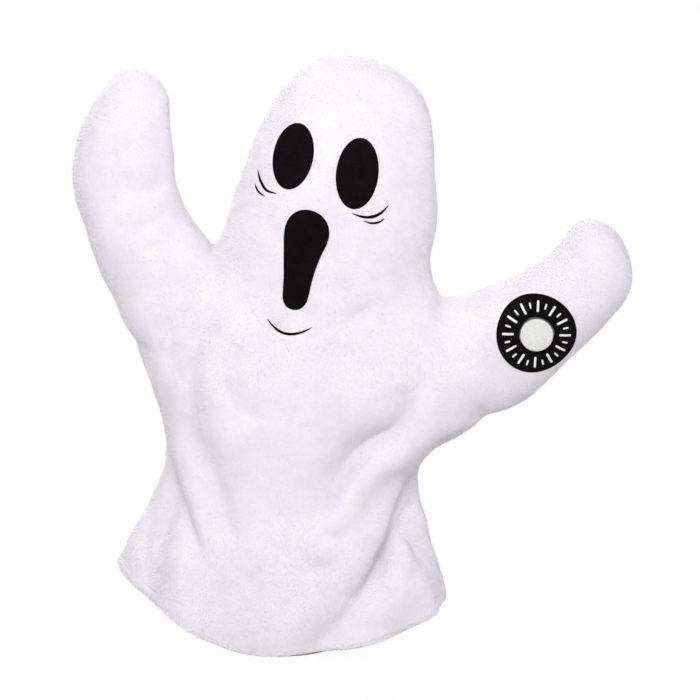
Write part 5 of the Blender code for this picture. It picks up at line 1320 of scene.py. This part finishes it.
def pile_tree():
    """Spreads leaning tufts over a surface, and leaves the prints bare."""
    tree = bpy.data.node_groups.new("brushed_pile", "GeometryNodeTree")
    face = tree.interface
    face.new_socket("Geometry", in_out="INPUT", socket_type="NodeSocketGeometry")
    sockets = {}
    for label, kind in (
        ("Prints", "NodeSocketObject"), ("Density", "NodeSocketFloat"), ("Length", "NodeSocketFloat"),
        ("Width", "NodeSocketFloat"), ("Bare Margin", "NodeSocketFloat"), ("Seed", "NodeSocketInt"),
        ("Material", "NodeSocketMaterial"),
    ):
        sockets[label] = face.new_socket(label, in_out="INPUT", socket_type=kind).identifier
    face.new_socket("Geometry", in_out="OUTPUT", socket_type="NodeSocketGeometry")

    def node(kind, settings=None, **links):
        added = tree.nodes.new(kind)
        for key, value in (settings or {}).items():
            setattr(added, key, value)
        for key, value in links.items():
            socket = added.inputs[key.replace("_", " ")]
            if isinstance(value, bpy.types.NodeSocket):
                tree.links.new(value, socket)
            else:
                socket.default_value = value
        return added

    entry = node("NodeGroupInput")
    spread = node(
        "GeometryNodeDistributePointsOnFaces", Mesh=entry.outputs["Geometry"],
        Density=entry.outputs["Density"], Seed=entry.outputs["Seed"])
    prints = node("GeometryNodeObjectInfo", Object=entry.outputs["Prints"])
    nearness = node("GeometryNodeProximity", {"target_element": "FACES"})
    tree.links.new(prints.outputs["Geometry"], nearness.inputs[0])
    near = node("FunctionNodeCompare", {"operation": "LESS_THAN"})
    tree.links.new(nearness.outputs["Distance"], near.inputs[0])
    tree.links.new(entry.outputs["Bare Margin"], near.inputs[1])
    bare = node(
        "GeometryNodeDeleteGeometry", {"domain": "POINT"}, Geometry=spread.outputs["Points"],
        Selection=near.outputs[0])
    tuft = node(
        "GeometryNodeMeshCone", {"fill_type": "NGON"}, Vertices=3, Radius_Bottom=entry.outputs["Width"],
        Depth=entry.outputs["Length"])
    jitter = node("FunctionNodeRandomValue", {"data_type": "FLOAT_VECTOR"})
    jitter.inputs[0].default_value = (-TUFT_JITTER,) * 3
    jitter.inputs[1].default_value = (TUFT_JITTER,) * 3
    tree.links.new(entry.outputs["Seed"], jitter.inputs["Seed"])
    nap = node("ShaderNodeVectorMath", {"operation": "ADD"})
    tree.links.new(jitter.outputs[0], nap.inputs[0])
    nap.inputs[1].default_value = tuple(-UP_IN_ROW * NAP_LEAN)
    into = node("ShaderNodeVectorMath", {"operation": "DOT_PRODUCT"})
    tree.links.new(spread.outputs["Normal"], into.inputs[0])
    into.inputs[1].default_value = tuple(UP_IN_ROW * NAP_LEAN)
    stand = node("ShaderNodeMath", {"operation": "ADD"})
    tree.links.new(into.outputs["Value"], stand.inputs[0])
    stand.inputs[1].default_value = 1.0
    upright = node("ShaderNodeVectorMath", {"operation": "SCALE"})
    tree.links.new(spread.outputs["Normal"], upright.inputs[0])
    tree.links.new(stand.outputs[0], upright.inputs["Scale"])
    way = node("ShaderNodeVectorMath", {"operation": "ADD"})
    tree.links.new(nap.outputs[0], way.inputs[0])
    tree.links.new(upright.outputs[0], way.inputs[1])
    turned = node("FunctionNodeAlignRotationToVector", {"axis": "Z"})
    tree.links.new(way.outputs[0], turned.inputs["Vector"])
    size = node("FunctionNodeRandomValue", {"data_type": "FLOAT"})
    size.inputs[2].default_value, size.inputs[3].default_value = TUFT_SCALES
    tree.links.new(entry.outputs["Seed"], size.inputs["Seed"])
    placed = node(
        "GeometryNodeInstanceOnPoints", Points=bare.outputs["Geometry"], Instance=tuft.outputs["Mesh"],
        Rotation=turned.outputs["Rotation"], Scale=size.outputs[1])
    real = node("GeometryNodeRealizeInstances", Geometry=placed.outputs["Instances"])
    coloured = node(
        "GeometryNodeSetMaterial", Geometry=real.outputs["Geometry"], Material=entry.outputs["Material"])
    end = node("NodeGroupOutput")
    tree.links.new(coloured.outputs["Geometry"], end.inputs[0])
    return tree, sockets


def pile_parts():
    """Outer skins that carry pile, each small enough for one piece."""
    parts = {}
    points, normals, faces = made["open_parts"]["torso"]
    middles = np.array([points[list(face)].mean(axis=0) for face in faces])
    front, up = middles[:, 1] < 0, middles[:, 2]
    skirt, head = up < SKIRT_PILE_TOP, up >= CHEST_PILE_TOP
    chest = ~skirt & ~head
    zones = {
        "front_skirt_pile": front & skirt,
        "front_chest_pile": front & chest,
        "face_pile": front & head,
        "back_skirt_pile": ~front & skirt,
        "back_chest_pile": ~front & chest,
        "back_head_pile": ~front & head,
    }
    for name, chosen in zones.items():
        part = take_part(points, normals, [faces[index] for index in np.flatnonzero(chosen)])
        parts[name] = ("torso", part)
    for name in ("right", "left"):
        parts[f"{name}_arm_pile"] = (name, made["open_parts"][name])
    return parts


class GHOST_OT_brush_pile(bpy.types.Operator):
    """Brushes short leaning tufts over the fleece"""

    bl_idname = "ghost.brush_pile"
    bl_label = "Brush Pile"

    def execute(self, context):
        settings = context.scene.ghost_pile
        cover = context.scene.ghost_cover
        tree, sockets = pile_tree()
        # The tufts' darker tone is a lighter copy of the fleece's painted shade
        shade = mixed(cover.fleece_painted_shade, cover.fleece_colour, 0.4)
        material = pile_finish("fleece_pile", cover.fleece_colour, shade)
        prints = self.prints_guard(context)
        for number, (name, (owner, part)) in enumerate(pile_parts().items()):
            points, normals, faces = part
            base = add_object(name + "_ground", new_mesh(name + "_ground", to_row(points), faces))
            self.brush(context, base, name, tree, sockets, material, prints, settings.seed + number, owner)
        hem = bpy.data.objects["hem_roll"]
        base = add_object("hem_pile_ground", hem.data.copy())
        self.brush(context, base, "hem_pile", tree, sockets, material, prints, settings.seed + 40, "torso")
        bpy.data.objects.remove(prints)
        return {"FINISHED"}

    def prints_guard(self, context):
        """One mesh of every print, which the tufts keep clear of."""
        bm = bmesh.new()
        for name in PRINTS:
            bm.from_mesh(bpy.data.objects[name].data)
        mesh = bpy.data.meshes.new("prints_guard")
        bm.to_mesh(mesh)
        bm.free()
        return add_object("prints_guard", mesh)

    def brush(self, context, base, name, tree, sockets, material, prints, seed, owner):
        settings = context.scene.ghost_pile
        modifier = base.modifiers.new("Pile", "NODES")
        modifier.node_group = tree
        values = {
            "Prints": prints, "Density": settings.density, "Length": settings.length,
            "Width": settings.width,
            "Bare Margin": settings.bare_margin, "Seed": seed, "Material": material,
        }
        for label, value in values.items():
            modifier[sockets[label]] = value
        base.update_tag()
        context.view_layer.update()
        mesh = bpy.data.meshes.new_from_object(base.evaluated_get(context.evaluated_depsgraph_get()))
        bpy.data.objects.remove(base)
        if not len(mesh.polygons):
            raise RuntimeError(f"{name} has no tufts")
        mesh.name = name
        if not mesh.materials:
            mesh.materials.append(material)
        pile = bpy.data.objects.new(name, mesh)
        context.scene.collection.objects.link(pile)
        if owner == "torso":
            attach(pile, "torso")
        else:
            blend_arm(pile)


class GHOST_OT_finish_mechanism(bpy.types.Operator):
    """Gives each part of the drive, frame and base its finish"""

    bl_idname = "ghost.finish_mechanism"
    bl_label = "Finish Mechanism"

    def execute(self, context):
        finishes = {
            "base_plastic": plastic_finish("black_abs", (0.045, 0.045, 0.05), 0.5),
            "frame_plastic": plastic_finish("grey_abs", (0.52, 0.52, 0.51), 0.48),
            "gear_plastic": plastic_finish("natural_acetal", (0.74, 0.71, 0.62), 0.36),
            "steel": metal_finish("plated_steel", (0.60, 0.60, 0.61), (1.0, 1.0, 8.0)),
            "cell_jacket": jacket_finish("cell_jacket", (0.035, 0.05, 0.09), (0.30, 0.24, 0.15)),
            "board": board_finish("green_laminate", (0.03, 0.17, 0.07), (0.06, 0.28, 0.12)),
            "speaker_paper": paper_finish("black_paper", (0.035, 0.035, 0.036)),
            "stuffing": fibre_finish("fibre_fill", (0.86, 0.85, 0.83), (0.66, 0.65, 0.64)),
        }
        for slot, names in MECHANISM_SLOTS.items():
            for name in names:
                dress_node(name, finishes[slot])
        return {"FINISHED"}


# Stage
FLOOR_HALF = 9.0
FLOOR_DROP = 0.0002
LAMP_AIM = Vector((0.03, 0.0, 0.25))
CAMERA_AIM = Vector((0.0388, 0.0, 0.1646))


class GHOST_OT_set_stage(bpy.types.Operator):
    """Sets the floor, the lamps and the camera"""

    bl_idname = "ghost.set_stage"
    bl_label = "Set Stage"

    def execute(self, context):
        settings = context.scene.ghost_stage
        scene = context.scene
        scene.view_settings.view_transform = "Standard"
        corners = [
            (x * FLOOR_HALF, y * FLOOR_HALF, -FLOOR_DROP) for x, y in ((-1, -1), (1, -1), (1, 1), (-1, 1))]
        mesh = new_mesh("floor", corners, [(0, 1, 2, 3)])
        floor = add_object("floor", mesh, self.floor_finish(), smooth=False)
        self.lamp("key_lamp", (-0.04, -0.84, 0.84), 0.5, settings.key_power, (1.0, 0.99, 0.98), 64.0)
        self.lamp("fill_lamp", (1.3, -1.2, 0.8), 1.0, settings.fill_power, (0.96, 0.97, 1.0))
        self.lamp("side_lamp", (-1.1, -1.3, 0.6), 0.9, settings.side_power, (0.98, 0.98, 1.0))
        self.lamp("back_lamp", (-0.4, 1.4, 1.1), 0.9, settings.back_power, (0.98, 0.98, 1.0))
        self.room(settings.room_light)
        back = Vector((0.0, -math.cos(settings.camera_elevation), math.sin(settings.camera_elevation)))
        camera = bpy.data.objects.new("camera", bpy.data.cameras.new("camera"))
        scene.collection.objects.link(camera)
        camera.data.sensor_width = 36.0
        camera.data.lens = settings.lens
        camera.data.clip_end = 50.0
        camera.location = CAMERA_AIM + back * settings.camera_distance
        camera.rotation_euler = (-back).to_track_quat("-Z", "Y").to_euler()
        scene.camera = camera
        return {"FINISHED"}

    def lamp(self, name, place, size, power, colour, spread_deg=180.0):
        light = bpy.data.lights.new(name, "AREA")
        light.shape = "DISK"
        light.size = size
        light.energy = power
        light.color = colour
        light.spread = math.radians(spread_deg)
        lamp = bpy.data.objects.new(name, light)
        bpy.context.scene.collection.objects.link(lamp)
        lamp.location = place
        lamp.rotation_euler = (LAMP_AIM - Vector(place)).to_track_quat("-Z", "Y").to_euler()

    def seen_share(self, tree, share):
        """A share of what the camera, gloss and glass see, and nothing of the light."""
        path = tree.nodes.new("ShaderNodeLightPath")
        seen = path.outputs["Is Camera Ray"]
        for other in ("Is Glossy Ray", "Is Transmission Ray"):
            more = tree.nodes.new("ShaderNodeMath")
            more.operation = "MAXIMUM"
            tree.links.new(seen, more.inputs[0])
            tree.links.new(path.outputs[other], more.inputs[1])
            seen = more.outputs[0]
        part = tree.nodes.new("ShaderNodeMath")
        part.operation = "MULTIPLY"
        part.inputs[1].default_value = share
        tree.links.new(seen, part.inputs[0])
        return part.outputs[0]

    def floor_finish(self):
        material = bpy.data.materials.new("pale_floor")
        material.use_nodes = True
        tree = material.node_tree
        shader = tree.nodes["Principled BSDF"]
        shader.inputs["Base Color"].default_value = (0.62, 0.62, 0.62, 1.0)
        shader.inputs["Roughness"].default_value = 0.9
        glow = tree.nodes.new("ShaderNodeEmission")
        glow.inputs["Color"].default_value = (1.0, 1.0, 1.0, 1.0)
        mix = tree.nodes.new("ShaderNodeMixShader")
        tree.links.new(self.seen_share(tree, 0.97), mix.inputs["Fac"])
        tree.links.new(shader.outputs["BSDF"], mix.inputs[1])
        tree.links.new(glow.outputs["Emission"], mix.inputs[2])
        tree.links.new(mix.outputs["Shader"], tree.nodes["Material Output"].inputs["Surface"])
        return material

    def room(self, strength):
        world = bpy.data.worlds.new("soft_room")
        bpy.context.scene.world = world
        world.use_nodes = True
        tree = world.node_tree
        even = tree.nodes["Background"]
        even.inputs["Color"].default_value = (0.97, 0.96, 1.0, 1.0)
        even.inputs["Strength"].default_value = strength
        white = tree.nodes.new("ShaderNodeBackground")
        white.inputs["Color"].default_value = (1.0, 1.0, 1.0, 1.0)
        white.inputs["Strength"].default_value = 1.0
        mix = tree.nodes.new("ShaderNodeMixShader")
        tree.links.new(self.seen_share(tree, 1.0), mix.inputs["Fac"])
        tree.links.new(even.outputs["Background"], mix.inputs[1])
        tree.links.new(white.outputs["Background"], mix.inputs[2])
        tree.links.new(mix.outputs["Shader"], tree.nodes["World Output"].inputs["Surface"])


class GHOST_PT_panel(bpy.types.Panel):
    """Lists the ghost's settings and steps"""

    bl_idname = "GHOST_PT_panel"
    bl_label = "Dancing Plush Ghost"
    bl_space_type = "VIEW_3D"
    bl_region_type = "UI"
    bl_category = "Ghost"

    def draw(self, context):
        for name in SETTINGS:
            settings = getattr(context.scene, name)
            box = self.layout.box()
            for key in settings.__annotations__:
                box.prop(settings, key)
        for step in STEPS:
            self.layout.operator(step.bl_idname)


SETTINGS = {
    "ghost_cover": GhostCoverSettings,
    "ghost_pile": GhostPileSettings,
    "ghost_print": GhostPrintSettings,
    "ghost_stage": GhostStageSettings,
}
STEPS = (
    GHOST_OT_finish_mechanism, GHOST_OT_sew_cover, GHOST_OT_roll_hem, GHOST_OT_print_face,
    GHOST_OT_print_ring, GHOST_OT_cover_button, GHOST_OT_brush_pile, GHOST_OT_set_stage,
)


def register():
    for settings in SETTINGS.values():
        bpy.utils.register_class(settings)
    for name, settings in SETTINGS.items():
        setattr(bpy.types.Scene, name, bpy.props.PointerProperty(type=settings))
    for step in STEPS:
        bpy.utils.register_class(step)
    bpy.utils.register_class(GHOST_PT_panel)


def unregister():
    bpy.utils.unregister_class(GHOST_PT_panel)
    for step in reversed(STEPS):
        bpy.utils.unregister_class(step)
    for name in SETTINGS:
        delattr(bpy.types.Scene, name)
    for settings in reversed(list(SETTINGS.values())):
        bpy.utils.unregister_class(settings)


def main():
    register()
    bpy.ops.ghost.finish_mechanism()
    bpy.ops.ghost.sew_cover()
    bpy.ops.ghost.roll_hem()
    bpy.ops.ghost.print_face()
    bpy.ops.ghost.print_ring()
    bpy.ops.ghost.cover_button()
    bpy.ops.ghost.brush_pile()
    bpy.ops.ghost.set_stage()


if __name__ == "__main__":
    main()
